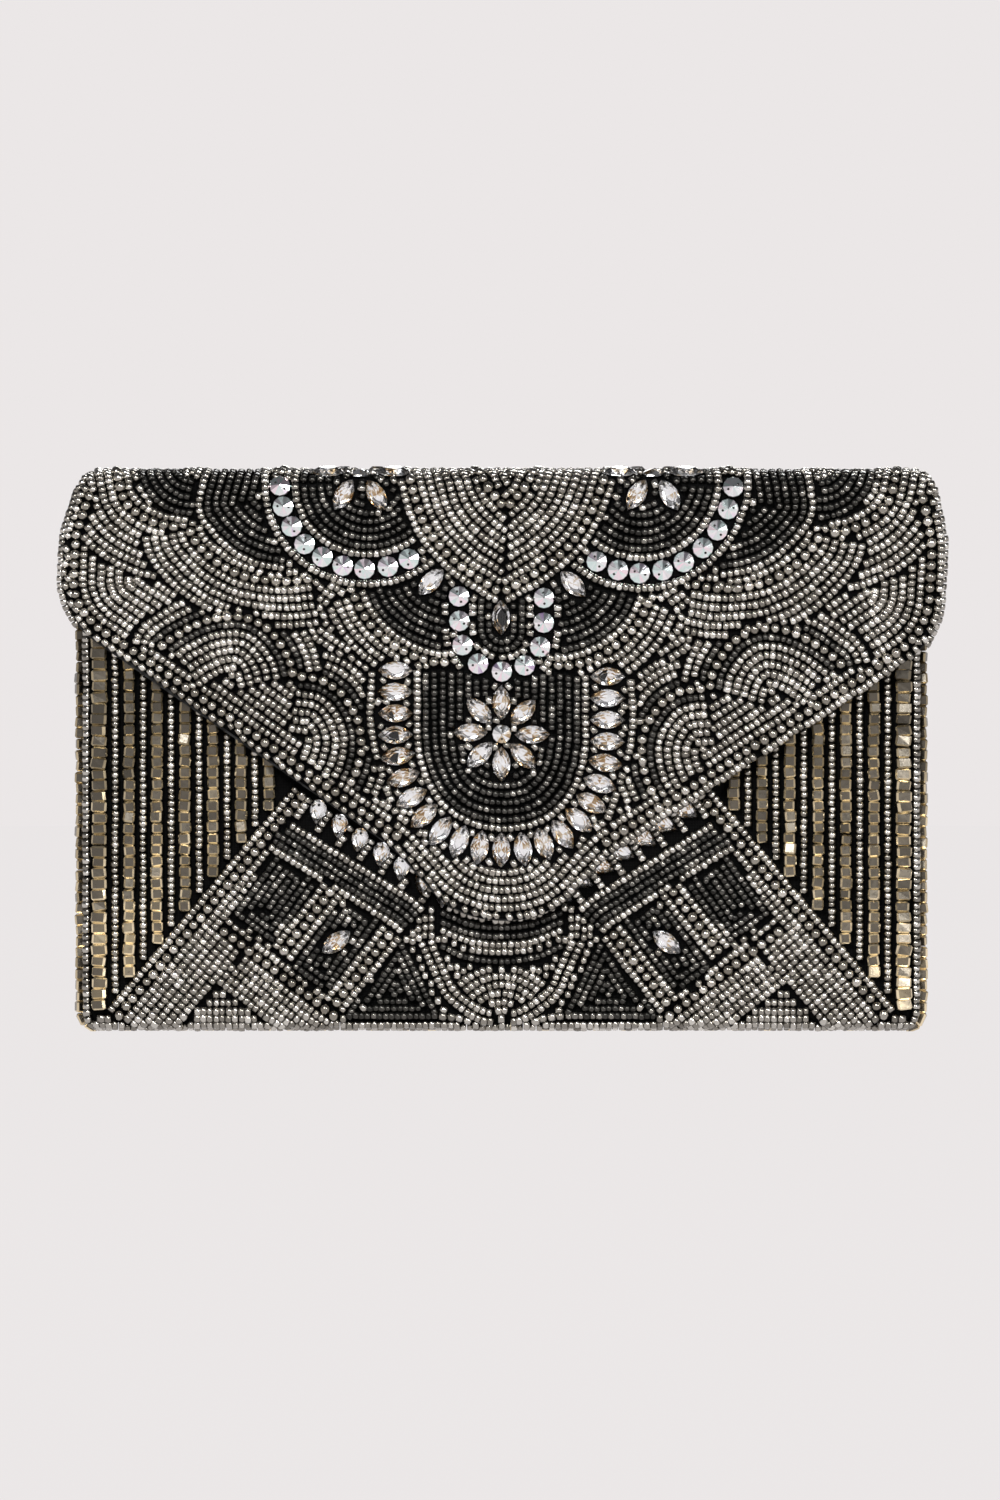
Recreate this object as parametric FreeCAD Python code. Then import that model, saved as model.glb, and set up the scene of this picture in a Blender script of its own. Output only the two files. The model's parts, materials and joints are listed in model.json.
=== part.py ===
"""Beaded envelope clutch purse: a soft pouch, a folding spine and a pointed flap.

Millimetres, +Z up.  The purse stands on its bottom edge, X runs along its width and
the flap faces -Y.  The origin is the bottom centre of the whole purse.

Every wall is built in layers, counted outwards from the pouch's inside: lining,
stiffener, cloth, beads.  An "offset" below is a distance outwards from the face of
the lining.  The wall leaves the pouch at the rear crease, crosses the top as the
spine, turns down at the front crease and hangs in front as the flap.
"""
import FreeCAD, Part
import math
import os

# ---- driving dimensions -------------------------------------------------------------
body_width = 241.0        # pouch, over the beads
body_height = 160.0       # floor to the top of the spine's beads
cavity_depth = 9.5        # inside, front lining to back lining
lining_thick = 0.4
stiffener_thick = 0.9
cloth_thick = 0.6
bead_thick = 2.3          # seed beads
cube_size = 3.0           # square beads of the stripes
side_round = 4.0          # inside radius of the pouch's upright edges
bottom_round = 1.0        # inside radius of the pouch's bottom edges
mouth_drop = 10.0         # pouch's front edge below the top of the spine
spine_round = 7.0         # outside radius of both creases
crease_gap = 0.3          # between a crease and the piece that folds away from it
flap_gap = 0.3            # between the flap's lining and the square beads

flap_overhang = 4.5       # flap beyond the pouch on each side, at its widest
spine_overhang = 1.0      # creases and spine beyond the pouch on each side
flap_shoulder_drop = 20.0  # where the flap reaches its full width
flap_corner_drop = 45.5
flap_corner_radius = 22.0
flap_bend_half = 30.0     # where the straight edge steepens towards the tip
flap_bend_drop = 109.5
flap_bend_radius = 40.0
flap_tip_half = 13.0
flap_tip_radius = 27.0
flap_length = 128.6       # top of the spine to the tip
flap_lean = 0.03          # hand-made flap: lower on the right, per mm from the centre line
lean_depth = 60.0         # the lean grows from nothing at the top to full at this drop
pattern_drift = 1.5       # the pattern lies this far to the right near the top
drift_drops = (5.0, 35.0)  # full drift above the first drop, none below the second

under_flap = 14.0         # how far the front's beads run on beneath the flap
diagonal_inset = 6.9      # foot of each diagonal, in from the pouch's side
diagonal_rise = 1.1965    # rise per unit of run
stripe_inset = 14.24      # first square-bead column, beyond the top corner of the beaded field
columns_per_side = 23     # from the front, round the side, to the back's centre line
back_band = 38.0          # seed beads on the back, below the rear crease
bead_gap = 0.3            # between neighbouring groups of beads

stone_height = 3.0
stone_gap = 0.3
girdle_height = 1.0
marquise_size = (10.0, 5.2)
pear_size = (7.2, 5.0)
round_size = 6.2
centre_size = 5.6

stone_u_half = 30.0       # the big U of marquises
stone_u_low_drop = 108.5
stone_u_turn_drop = 74.0  # below this its legs turn in
stone_u_top_drop = 58.5
stone_u_power = 2.25      # roundness of the turn: 2 is an ellipse
stone_u_count = 23
flower_drop = 75.5
flower_reach = 8.7        # centre of the flower to the middle of a petal
flower_petal_count = 8
round_u_half = 12.0       # the small U of round stones
round_u_turn_drop = 46.0
round_u_top_drop = 37.0
round_u_count = 9
swag_half = 38.7          # centre of each swag's arc, from the centre line
swag_drop = 4.0
swag_radius = 25.5
swag_first = 183.0        # degrees, counted from +X towards +Z
swag_step = 14.4
swag_count = 9
lone_marquise = (20.2, 32.8, 46.0)   # from the centre line, drop, slant in degrees
inner_marquise_drop = 42.6
top_flower_half = 41.5    # distance of each top flower from the centre line
top_flower_turn = 70.0    # how far round the front crease its middle lies, degrees
top_flower_reach = 9.3
top_flower_petal_count = 6
pear_count = 7
pear_pitch = 7.14
pear_first = 17.0         # the pear nearest the tip, from the centre line
pear_reach = 3.0          # middle of a pear, outside the flap's edge
box_marquise = (46.8, 0.411, 38.0)   # from the centre line, share of the height up to the pears, slant

snap_above_tip = 26.6
snap_radius = 7.0
socket_height = 1.9
stud_plate = 0.8
boss_radius = 3.0
boss_height = 1.2
bore_clearance = 0.3
bore_depth = 1.4
shell_wall = 0.3
washer_radius = 6.0
washer_thick = 0.5
prong_offset = 4.2
prong_size = (0.6, 2.4)
magnet_gap = 0.1

# ---- derived places -----------------------------------------------------------------
soft_wall = lining_thick + stiffener_thick + cloth_thick
wall = soft_wall + bead_thick
cavity_half = body_width / 2 - wall
inner_crease = spine_round - wall
top_inside = body_height - wall
crease_height = top_inside - inner_crease
mouth_height = body_height - mouth_drop
front_reach = cavity_depth / 2 + soft_wall + cube_size + flap_gap + soft_wall + stone_height
back_reach = cavity_depth / 2 + soft_wall + cube_size
pouch_y = (front_reach - back_reach) / 2
front_inside = pouch_y - cavity_depth / 2
back_inside = pouch_y + cavity_depth / 2
front_cloth_face = front_inside - soft_wall
flap_inside = front_cloth_face - cube_size - flap_gap
bottom_edge = wall + bottom_round
flap_width = body_width + 2 * flap_overhang
flap_top_width = body_width + 2 * spine_overhang
diagonal_foot = body_width / 2 - diagonal_inset
flower_height = body_height - flower_drop
snap_height = body_height - flap_length + snap_above_tip
far = 400.0               # larger than the purse, for cutting solids

LAYERS = {
    "lining": (0.0, lining_thick),
    "stiffener": (lining_thick, lining_thick + stiffener_thick),
    "cloth": (lining_thick + stiffener_thick, soft_wall),
    "beadwork": (soft_wall, wall),
}


# ---- small helpers ------------------------------------------------------------------
def vec(x, y, z):
    return FreeCAD.Vector(x, y, z)


def block(x_span, y_span, z_span):
    """Box between two limits on each axis."""
    size = [span[1] - span[0] for span in (x_span, y_span, z_span)]
    return Part.makeBox(*size, vec(x_span[0], y_span[0], z_span[0]))


def save(name, shape):
    """One STEP file for one node."""
    shape.exportStep(os.path.join("parts", name + ".step"))


def group(shapes):
    return Part.makeCompound(shapes)


def solids_of(shape):
    """The shape as a plain group of its solids."""
    return group(shape.Solids)


def rounded_outline(corners):
    """Closed wire in the XZ plane through (x, z, radius) corners."""
    points = [vec(x, 0, z) for x, z, _ in corners]
    bends = []
    for i, (_, _, radius) in enumerate(corners):
        corner = points[i]
        if not radius:
            bends.append((corner, None, corner))
            continue
        before = (points[i - 1] - corner).normalize()
        after = (points[(i + 1) % len(points)] - corner).normalize()
        half = before.getAngle(after) / 2
        cut = radius / math.tan(half)
        centre = corner + (before + after).normalize() * (radius / math.sin(half))
        middle = centre + (corner - centre).normalize() * radius
        bends.append((corner + before * cut, middle, corner + after * cut))
    edges = []
    for i, (start, middle, end) in enumerate(bends):
        if middle:
            edges.append(Part.Arc(start, middle, end).toShape())
        edges.append(Part.makeLine(end, bends[(i + 1) % len(bends)][0]))
    return Part.Wire(edges)


def prism(wire, y_low, y_high):
    """Solid between two Y limits with a wire of the XZ plane as its outline."""
    face = Part.Face(wire)
    face.translate(vec(0, y_low, 0))
    return face.extrude(vec(0, y_high - y_low, 0))


# ---- the pouch's walls --------------------------------------------------------------
def pouch_body(offset):
    """The pouch as one solid, with its outside at this offset from the lining's face."""
    half = cavity_half + offset
    solid = block((-half, half), (front_inside - offset, back_inside + offset),
                  (wall - offset, far))
    upright = [e for e in solid.Edges if abs(e.Vertexes[0].Z - e.Vertexes[1].Z) > 1]
    solid = solid.makeFillet(side_round + offset, upright)
    base = [e for e in solid.Edges if e.BoundBox.ZMax < wall - offset + 0.01]
    return solid.makeFillet(bottom_round + offset, base)


def pouch_layer(inner, outer):
    """Front and back halves of one layer; the back runs on up to the rear crease."""
    shell = pouch_body(outer).cut(pouch_body(inner))
    front = shell.common(block((-far, far), (-far, pouch_y), (-far, mouth_height)))
    back = shell.common(block((-far, far), (pouch_y, far), (-far, crease_height)))
    back = back.cut(block((-far, far), (pouch_y, back_inside), (mouth_height, far)))
    return front, back


# ---- spine, creases and flap --------------------------------------------------------
def quarter_ring(y, z, offsets, start):
    """A quarter of a tube along X; start is the angle it begins at, seen from +X."""
    half = flap_top_width / 2
    rings = [Part.makeCylinder(inner_crease + o, 2 * half, vec(-half, y, z), vec(1, 0, 0))
             for o in offsets]
    quarter = block((-half, half), (0, far), (0, far))
    quarter.rotate(vec(0, 0, 0), vec(1, 0, 0), start)
    quarter.translate(vec(0, y, z))
    return rings[1].cut(rings[0]).common(quarter)


def rear_crease(offsets):
    ring = quarter_ring(back_inside - inner_crease, crease_height, offsets, 0)
    return ring.cut(block((-far, far), (-far, back_inside - inner_crease + crease_gap), (-far, far)))


def front_crease(offsets):
    ring = quarter_ring(flap_inside + inner_crease, crease_height, offsets, 90)
    return ring.cut(block((-far, far), (-far, far), (-far, crease_height + crease_gap)))


def spine(offsets):
    half = flap_top_width / 2
    return block((-half, half), (flap_inside + inner_crease, back_inside - inner_crease),
                 (top_inside + offsets[0], top_inside + offsets[1]))


def flap_corners():
    """Right half of the flap's outline, top to tip, as (x, z, radius)."""
    return [
        (flap_top_width / 2, crease_height, 0),
        (flap_width / 2, body_height - flap_shoulder_drop, flap_corner_radius),
        (flap_width / 2, body_height - flap_corner_drop, flap_corner_radius),
        (flap_bend_half, body_height - flap_bend_drop, flap_bend_radius),
        (flap_tip_half, body_height - flap_length, flap_tip_radius),
    ]


def mirrored(corners):
    """Outline of the right half followed back up the left half."""
    return corners + [(-x, z, r) for x, z, r in reversed(corners)]


def leaned(x, z):
    """Height of a flap point once the flap's lean is added."""
    share = min(max((body_height - z) / lean_depth, 0.0), 1.0)
    return z - flap_lean * x * share


def drifted(x, z):
    """Distance from the centre line once the pattern's drift is added."""
    full, none = drift_drops
    return x + pattern_drift * min(max((none - body_height + z) / (none - full), 0.0), 1.0)


def flap(offsets):
    top = crease_height
    corners = [(x, z if z == top else leaned(x, z), r) for x, z, r in mirrored(flap_corners())]
    outline = rounded_outline(corners)
    return prism(outline, flap_inside - offsets[1], flap_inside - offsets[0])


def flap_edge_height(x):
    """Height of the flap's lower edge at a distance from the centre line."""
    corners = flap_corners()[2:]
    x = abs(x)
    if x <= flap_tip_half:
        return corners[-1][1]
    for (x1, z1, _), (x0, z0, _) in zip(corners, corners[1:]):
        if x >= x0 and x <= x1:
            return z0 + (z1 - z0) * (x - x0) / (x1 - x0)
    return mouth_height


# ---- a surface to sew on: the cloth's outside ---------------------------------------
def on_wrap(x, height=None, turn=0.0):
    """Frame on the flap's cloth at a height, or round the front crease by an angle.

    Its X is the purse's, its Y runs up the wrap and its Z points outwards.
    """
    radius = inner_crease + soft_wall
    y = flap_inside + inner_crease - radius * math.cos(math.radians(turn))
    z = height if height is not None else crease_height + radius * math.sin(math.radians(turn))
    return FreeCAD.Placement(vec(x, y, z), FreeCAD.Rotation(vec(1, 0, 0), 90 - turn))


def sewn(x, z):
    """Frame on the flap's cloth for a place in the pattern, drift and lean included."""
    x, z = drifted(x, z), leaned(x, z)
    if z <= crease_height:
        return on_wrap(x, z)
    return on_wrap(x, None, math.degrees(math.asin((z - crease_height) / spine_round)))


def on_spine(x, y):
    return FreeCAD.Placement(vec(x, y, top_inside + soft_wall), FreeCAD.Rotation())


def on_front(x, z):
    return FreeCAD.Placement(vec(x, front_cloth_face, z), FreeCAD.Rotation(vec(1, 0, 0), 90))


# ---- stones -------------------------------------------------------------------------
def marquise_wire(grow, scale, height):
    length = marquise_size[0] * scale / 2 + grow
    width = marquise_size[1] * scale / 2 + grow
    ends = (vec(-length, 0, height), vec(length, 0, height))
    upper = Part.Arc(ends[0], vec(0, width, height), ends[1]).toShape()
    lower = Part.Arc(ends[1], vec(0, -width, height), ends[0]).toShape()
    return Part.Wire([upper, lower])


def pear_wire(grow, scale, height):
    """Round wide end at -X, drawn to a point at +X by two tangent lines."""
    radius = pear_size[1] * scale / 2 + grow
    tip = pear_size[0] * scale / 2 + grow
    centre = -tip + radius
    lean = math.acos(radius / (tip - centre))
    touch = vec(centre + radius * math.cos(lean), radius * math.sin(lean), height)
    lower = vec(touch.x, -touch.y, height)
    point = vec(tip, 0, height)
    arc = Part.Arc(touch, vec(-tip, 0, height), lower).toShape()
    return Part.Wire([arc, Part.makeLine(lower, point), Part.makeLine(point, touch)])


def round_wire(diameter):
    def wire(grow, scale, height):
        circle = Part.makeCircle(diameter * scale / 2 + grow, vec(0, 0, height))
        return Part.Wire([circle])
    return wire


def cut_stone(wire):
    """A faceted stone as a foil cup, a girdle and a crown, standing on z = 0."""
    sections = [wire(0, 0.8, 0), wire(0, 1.0, girdle_height), wire(0, 0.5, stone_height)]
    return Part.makeLoft(sections, True, True)


def stone_seat(wire):
    """The room that the beads leave round a stone."""
    foot = Part.Face(wire(stone_gap, 1.0, -bead_gap))
    return foot.extrude(vec(0, 0, 2 * wall))


def set_stones(wire, frames):
    """Stones and their seats at a list of (frame, turn in degrees)."""
    stones = []
    seats = []
    for frame, turn in frames:
        place = frame * FreeCAD.Placement(vec(0, 0, 0), FreeCAD.Rotation(vec(0, 0, 1), turn))
        for pattern, made in ((cut_stone(wire), stones), (stone_seat(wire), seats)):
            pattern.Placement = place
            made.append(pattern)
    return stones, seats


def both_sides(x, drop, turn):
    """The same place on the flap right and left of the centre line."""
    z = body_height - drop
    return [(sewn(x, z), 180 - turn), (sewn(-x, z), turn)]


def evenly_along(points, count):
    """Places at equal steps along a polyline, with the direction across it."""
    steps = [math.dist(a, b) for a, b in zip(points, points[1:])]
    pitch = sum(steps) / (count - 1)
    places = []
    walked = 0.0
    for (a, b), step in zip(zip(points, points[1:]), steps):
        while len(places) < count and len(places) * pitch <= walked + step + 1e-6:
            share = (len(places) * pitch - walked) / step
            across = math.degrees(math.atan2(b[1] - a[1], b[0] - a[0])) + 90
            places.append((a[0] + share * (b[0] - a[0]), a[1] + share * (b[1] - a[1]), across))
        walked += step
    return places


def u_curve(half, low_drop, turn_drop, top_drop, power, count=90):
    """A U: upright legs down to the turn, then a super-ellipse through the low point."""
    low, turn, top = (body_height - drop for drop in (low_drop, turn_drop, top_drop))
    points = [(-half, top)]
    for i in range(count + 1):
        angle = math.pi * i / count
        side = -math.copysign(abs(math.cos(angle)) ** (2 / power), math.cos(angle))
        points.append((half * side, turn - (turn - low) * math.sin(angle) ** (2 / power)))
    points.append((half, top))
    return points


def marquise_u_frames():
    curve = u_curve(stone_u_half, stone_u_low_drop, stone_u_turn_drop, stone_u_top_drop, stone_u_power)
    return [(sewn(x, z), across) for x, z, across in evenly_along(curve, stone_u_count)]


def round_u_frames():
    low_drop = round_u_turn_drop + round_u_half
    curve = u_curve(round_u_half, low_drop, round_u_turn_drop, round_u_top_drop, 2)
    return [(sewn(x, z), across) for x, z, across in evenly_along(curve, round_u_count)]


def swag_frames():
    """Round stones on an arc below each top flower."""
    frames = []
    for i in range(swag_count):
        angle = math.radians(swag_first + i * swag_step)
        x = -swag_half + swag_radius * math.cos(angle)
        z = body_height - swag_drop + swag_radius * math.sin(angle)
        frames += [(sewn(side * x, z), 0) for side in (1, -1)]
    return frames


def petal_frames(count, first):
    """Petals round the big flower's middle."""
    frames = []
    for i in range(count):
        turn = first + 360 * i / count
        x = flower_reach * math.cos(math.radians(turn))
        z = flower_height + flower_reach * math.sin(math.radians(turn))
        frames.append((sewn(x, z), turn))
    return frames


def top_flower_frames():
    """Top flowers, bent over the front crease: petals on the flap, petals on the spine, middles."""
    below, above, middles = [], [], []
    bead_radius = spine_round - bead_thick / 2
    middle_run = bead_radius * math.radians(top_flower_turn)
    quarter_run = bead_radius * math.pi / 2
    for side in (1, -1):
        centre = side * top_flower_half + pattern_drift
        middles.append((on_wrap(centre, None, top_flower_turn), 0))
        for i in range(top_flower_petal_count):
            turn = 360 * (i + 0.5) / top_flower_petal_count - 90
            x = centre + top_flower_reach * math.cos(math.radians(turn))
            run = middle_run + top_flower_reach * math.sin(math.radians(turn))
            if run <= 0:
                below.append((on_wrap(x, crease_height + run), turn))
            elif run < quarter_run:
                frame = on_wrap(x, None, math.degrees(run / bead_radius))
                (above if run > quarter_run / 2 else below).append((frame, turn))
            else:
                above.append((on_spine(x, flap_inside + inner_crease + run - quarter_run), turn))
    return below, above, middles


def pear_frames():
    """Pears in a row outside each straight edge of the flap, points away from it."""
    (corner_x, corner_z, _), (bend_x, bend_z, _) = flap_corners()[2:4]
    slope = math.atan2(corner_z - bend_z, corner_x - bend_x)
    away = math.degrees(slope) - 90
    frames = []
    for i in range(pear_count):
        x = pear_first + i * pear_pitch * math.cos(slope)
        z = bend_z + (x - bend_x) * math.tan(slope) - pear_reach / math.cos(slope)
        frames += [(on_front(x, z), away), (on_front(-x, z), 180 - away)]
    return frames


def box_frames():
    """A marquise in each of the front's boxes, between the bottom edge and the row of pears."""
    x, share, turn = box_marquise
    (corner_x, corner_z, _), (bend_x, bend_z, _) = flap_corners()[2:4]
    slope = math.atan2(corner_z - bend_z, corner_x - bend_x)
    free = flap_edge_height(x) - (pear_reach + pear_size[0] / 2) / math.cos(slope) - bottom_edge
    z = bottom_edge + share * free
    return [(on_front(x, z), 180 - turn), (on_front(-x, z), turn)]


# ---- beads on the pouch -------------------------------------------------------------
def diagonal_height(x):
    """Height of the diagonal bead line at a distance from the centre line."""
    return bottom_edge + (diagonal_foot - abs(x)) * diagonal_rise


def field_corner():
    """Where the diagonal meets the field's top edge, from the centre line."""
    (corner_x, corner_z, _), (bend_x, bend_z, _) = flap_corners()[2:4]
    slope = (corner_z - bend_z) / (corner_x - bend_x)
    height_at_centre = bend_z - bend_x * slope + under_flap
    return (diagonal_height(0) - height_at_centre) / (diagonal_rise + slope)


def front_centre_outline():
    """Right half of the front's fully beaded field, from the bottom up to under the flap."""
    side = cavity_half + wall + 1
    meet = field_corner()
    return [
        (side, -1, 0),
        (side, bottom_edge, 0),
        (diagonal_foot, bottom_edge, 0),
        (meet, diagonal_height(meet), 0),
        (flap_bend_half, flap_edge_height(flap_bend_half) + under_flap, 0),
        (flap_tip_half, flap_edge_height(0) + under_flap, 0),
    ]


def front_beadwork(shell, seats):
    corners = front_centre_outline()
    outline = rounded_outline(corners + [(-x, z, r) for x, z, r in reversed(corners)])
    field = shell.common(prism(outline, -far, pouch_y))
    for seat in seats:
        field = field.cut(seat)
    return field


def back_beadwork(shell):
    """A band below the rear crease and the bottom's beads."""
    half = cavity_half - side_round
    band = block((-half, half), (back_inside, far), (crease_height - back_band, far))
    foot = block((-far, far), (pouch_y, far), (-far, bottom_edge))
    return solids_of(shell.common(band).fuse(shell.common(foot)))


def round_the_pouch(run):
    """Point and outward direction on the cloth, a run from the front's centre line."""
    flat = cavity_half - side_round
    radius = side_round + soft_wall
    quarter = radius * math.pi / 2
    side = cavity_depth - 2 * side_round
    if run < flat:
        return run, front_cloth_face, -90.0
    if run < flat + quarter:
        angle = -90 + math.degrees((run - flat) / radius)
        return (flat + radius * math.cos(math.radians(angle)),
                front_inside + side_round + radius * math.sin(math.radians(angle)), angle)
    if run < flat + quarter + side:
        return flat + radius, front_inside + side_round + run - flat - quarter, 0.0
    if run < flat + 2 * quarter + side:
        angle = math.degrees((run - flat - quarter - side) / radius)
        return (flat + radius * math.cos(math.radians(angle)),
                back_inside - side_round + radius * math.sin(math.radians(angle)), angle)
    return 2 * flat + 2 * quarter + side - run, back_inside + soft_wall, 90.0


def half_way_round():
    """Run from the front's centre line to the back's."""
    flat = cavity_half - side_round
    return 2 * flat + math.pi * (side_round + soft_wall) + cavity_depth - 2 * side_round


def stripe(run, width, thick):
    """One upright column of beads as a slim bar."""
    x, y, angle = round_the_pouch(run)
    low = bottom_edge + bead_gap
    high = mouth_height - under_flap / 4
    if angle < -45:
        low = max(low, diagonal_height(x) + diagonal_rise * width / 2 + bead_gap)
        high = min(high, flap_edge_height(x) + under_flap)
    if angle > 45:
        high = crease_height - back_band - bead_gap
    bar = block((0, thick), (-width / 2, width / 2), (low, high))
    bar.rotate(vec(0, 0, 0), vec(0, 0, 1), angle)
    bar.translate(vec(x, y, 0))
    return bar, angle


def stripes(first, width, thick):
    """Right and left front-and-side bars, and the back's bars, at the stripe pitch."""
    start = field_corner() + stripe_inset
    pitch = (half_way_round() - start) / (columns_per_side - 0.5)
    right, back = [], []
    for i in range(columns_per_side):
        run = start + (i + first) * pitch
        if run > half_way_round() - width / 2:
            continue
        bar, angle = stripe(run, width, thick)
        (back if angle > 45 else right).append(bar)
    left = [mirror(bar) for bar in right]
    return right, left, back + [mirror(bar) for bar in back]


def mirror(shape):
    return shape.mirror(vec(0, 0, 0), vec(1, 0, 0))


# ---- the magnetic snap --------------------------------------------------------------
def disc(radius, y_start, thick):
    """Disc facing the front, from a Y towards -Y, on the snap's axis."""
    return Part.makeCylinder(radius, thick, vec(0, y_start, snap_height), vec(0, -1, 0))


def prongs(y_start, length):
    """Two flat legs that hold a snap half to its washer."""
    half_x, half_z = prong_size[0] / 2, prong_size[1] / 2
    return [block((x - half_x, x + half_x), (y_start, y_start + length),
                  (snap_height - half_z, snap_height + half_z))
            for x in (-prong_offset, prong_offset)]


def snap_socket():
    """Pressed case over a ring magnet, with a bore for the stud and two legs."""
    case = disc(snap_radius, front_cloth_face, socket_height)
    bore = boss_radius + bore_clearance
    top = front_cloth_face - socket_height
    floor = front_cloth_face - shell_wall
    ring_room = disc(snap_radius - shell_wall, floor, socket_height - 2 * shell_wall)
    ring_room = ring_room.cut(disc(bore + shell_wall, floor, socket_height))
    case = case.cut(ring_room).cut(disc(bore, top + bore_depth, bore_depth))
    return case.fuse(prongs(front_cloth_face, cloth_thick)).removeSplitter()


def snap_magnet():
    """Ring magnet inside the socket's case."""
    outer = snap_radius - shell_wall - magnet_gap
    inner = boss_radius + bore_clearance + shell_wall + magnet_gap
    height = socket_height - 2 * shell_wall - magnet_gap
    floor = front_cloth_face - shell_wall
    return disc(outer, floor, height).cut(disc(inner, floor, height))


def snap_stud():
    """Plate with a boss on the flap's lining, and two legs through the lining."""
    plate = disc(snap_radius, flap_inside + stud_plate, stud_plate)
    boss = disc(boss_radius, flap_inside + stud_plate + boss_height, boss_height)
    return plate.fuse([boss] + prongs(flap_inside - lining_thick, lining_thick)).removeSplitter()


def leg_holes(y_start, length, room):
    """Cutter for the cloth or lining that a snap's legs pass through."""
    half_x, half_z = prong_size[0] / 2 + room, prong_size[1] / 2 + room
    return group([block((x - half_x, x + half_x), (y_start - room, y_start + length + room),
                        (snap_height - half_z, snap_height + half_z))
                  for x in (-prong_offset, prong_offset)])


# ---- build every node ---------------------------------------------------------------
def build():
    os.makedirs("parts", exist_ok=True)

    pouch = {name: pouch_layer(*offsets) for name, offsets in LAYERS.items()}
    socket_washer = disc(washer_radius, front_cloth_face + cloth_thick + washer_thick, washer_thick)
    stud_washer = disc(washer_radius, flap_inside - lining_thick, washer_thick)

    save("front_lining", pouch["lining"][0])
    save("front_stiffener", pouch["stiffener"][0].cut(socket_washer))
    save("front_cloth", pouch["cloth"][0].cut(leg_holes(front_cloth_face, cloth_thick, 0.0)))
    save("back_lining", pouch["lining"][1])
    save("back_stiffener", pouch["stiffener"][1])
    save("back_cloth", pouch["cloth"][1])

    pears, pear_seats = set_stones(pear_wire, pear_frames())
    box_stones, box_seats = set_stones(marquise_wire, box_frames())
    save("pear_crystals", group(pears))
    save("front_marquises", group(box_stones))
    save("front_beadwork", front_beadwork(pouch["beadwork"][0], pear_seats + box_seats))
    save("back_beadwork", back_beadwork(pouch["beadwork"][1]))

    for kind, first, width in (("cube_columns", 0.0, cube_size), ("seed_strands", 0.5, bead_thick)):
        right, left, back = stripes(first, width, width)
        save("right_" + kind, group(right))
        save("left_" + kind, group(left))
        save("back_" + kind, group(back))

    petals_below, petals_above, middles = top_flower_frames()
    low_petals, low_seats = set_stones(marquise_wire, petals_below)
    high_petals, high_seats = set_stones(marquise_wire, petals_above)
    centres, centre_seats = set_stones(round_wire(centre_size), middles)
    save("top_flower_flap_petals", group(low_petals))
    save("top_flower_spine_petals", group(high_petals))
    save("top_flower_centres", group(centres))

    stone_groups = {
        "marquise_arc": (marquise_wire, marquise_u_frames()),
        "round_stone_u": (round_wire(round_size), round_u_frames()),
        "round_stone_swags": (round_wire(round_size), swag_frames()),
        "flower_petals": (marquise_wire, petal_frames(flower_petal_count, 0.0)),
        "flower_centre": (round_wire(centre_size), [(sewn(0, flower_height), 0)]),
        "lone_marquises": (marquise_wire, both_sides(*lone_marquise)),
        "inner_marquise": (marquise_wire, [(sewn(0, body_height - inner_marquise_drop), 90)]),
    }
    seats = low_seats + high_seats + centre_seats
    for name, (wire, frames) in stone_groups.items():
        stones, rooms = set_stones(wire, frames)
        save(name, group(stones))
        seats += rooms

    for name, offsets in LAYERS.items():
        pieces = {"rear_crease": rear_crease(offsets), "spine": spine(offsets),
                  "front_crease": front_crease(offsets), "flap": flap(offsets)}
        if name == "beadwork":
            for piece in pieces:
                for seat in seats:
                    if seat.BoundBox.intersect(pieces[piece].BoundBox):
                        pieces[piece] = pieces[piece].cut(seat)
        if name == "lining":
            pieces["flap"] = pieces["flap"].cut(leg_holes(flap_inside - lining_thick, lining_thick, 0.0))
        if name == "stiffener":
            pieces["flap"] = pieces["flap"].cut(stud_washer)
            del pieces["rear_crease"]
            del pieces["front_crease"]
        for piece, shape in pieces.items():
            save(piece + "_" + name, shape)

    save("snap_socket", snap_socket())
    save("snap_magnet", snap_magnet())
    save("snap_socket_washer", socket_washer)
    save("snap_stud", snap_stud())
    save("snap_stud_washer", stud_washer)


def crease_pivot(side):
    """Hinge point (y, z) that straightens a crease without stretching the cloth.

    side is 1 for the rear crease and -1 for the front one.
    """
    neutral = lining_thick + stiffener_thick + cloth_thick / 2
    radius = inner_crease + neutral
    half_run = radius * math.pi / 4
    foot = back_inside + neutral if side > 0 else flap_inside - neutral
    return foot + side * (half_run - radius), crease_height + half_run


build()
for label, side in (("rear", 1), ("front", -1)):
    pivot = crease_pivot(side)
    print("%s crease pivot: y %.3f z %.3f" % (label, pivot[0], pivot[1]))
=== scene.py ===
# %% [markdown]
# # A beaded envelope clutch purse
# The purse is a soft cloth pouch whose back runs over the top as a narrow spine and comes down in
# front as a pointed flap.  Nearly all of its outside is sewn with glass and metal beads and foiled
# stones.  This lesson builds each of those as its own piece around a fixed frame of CAD parts.

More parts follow.
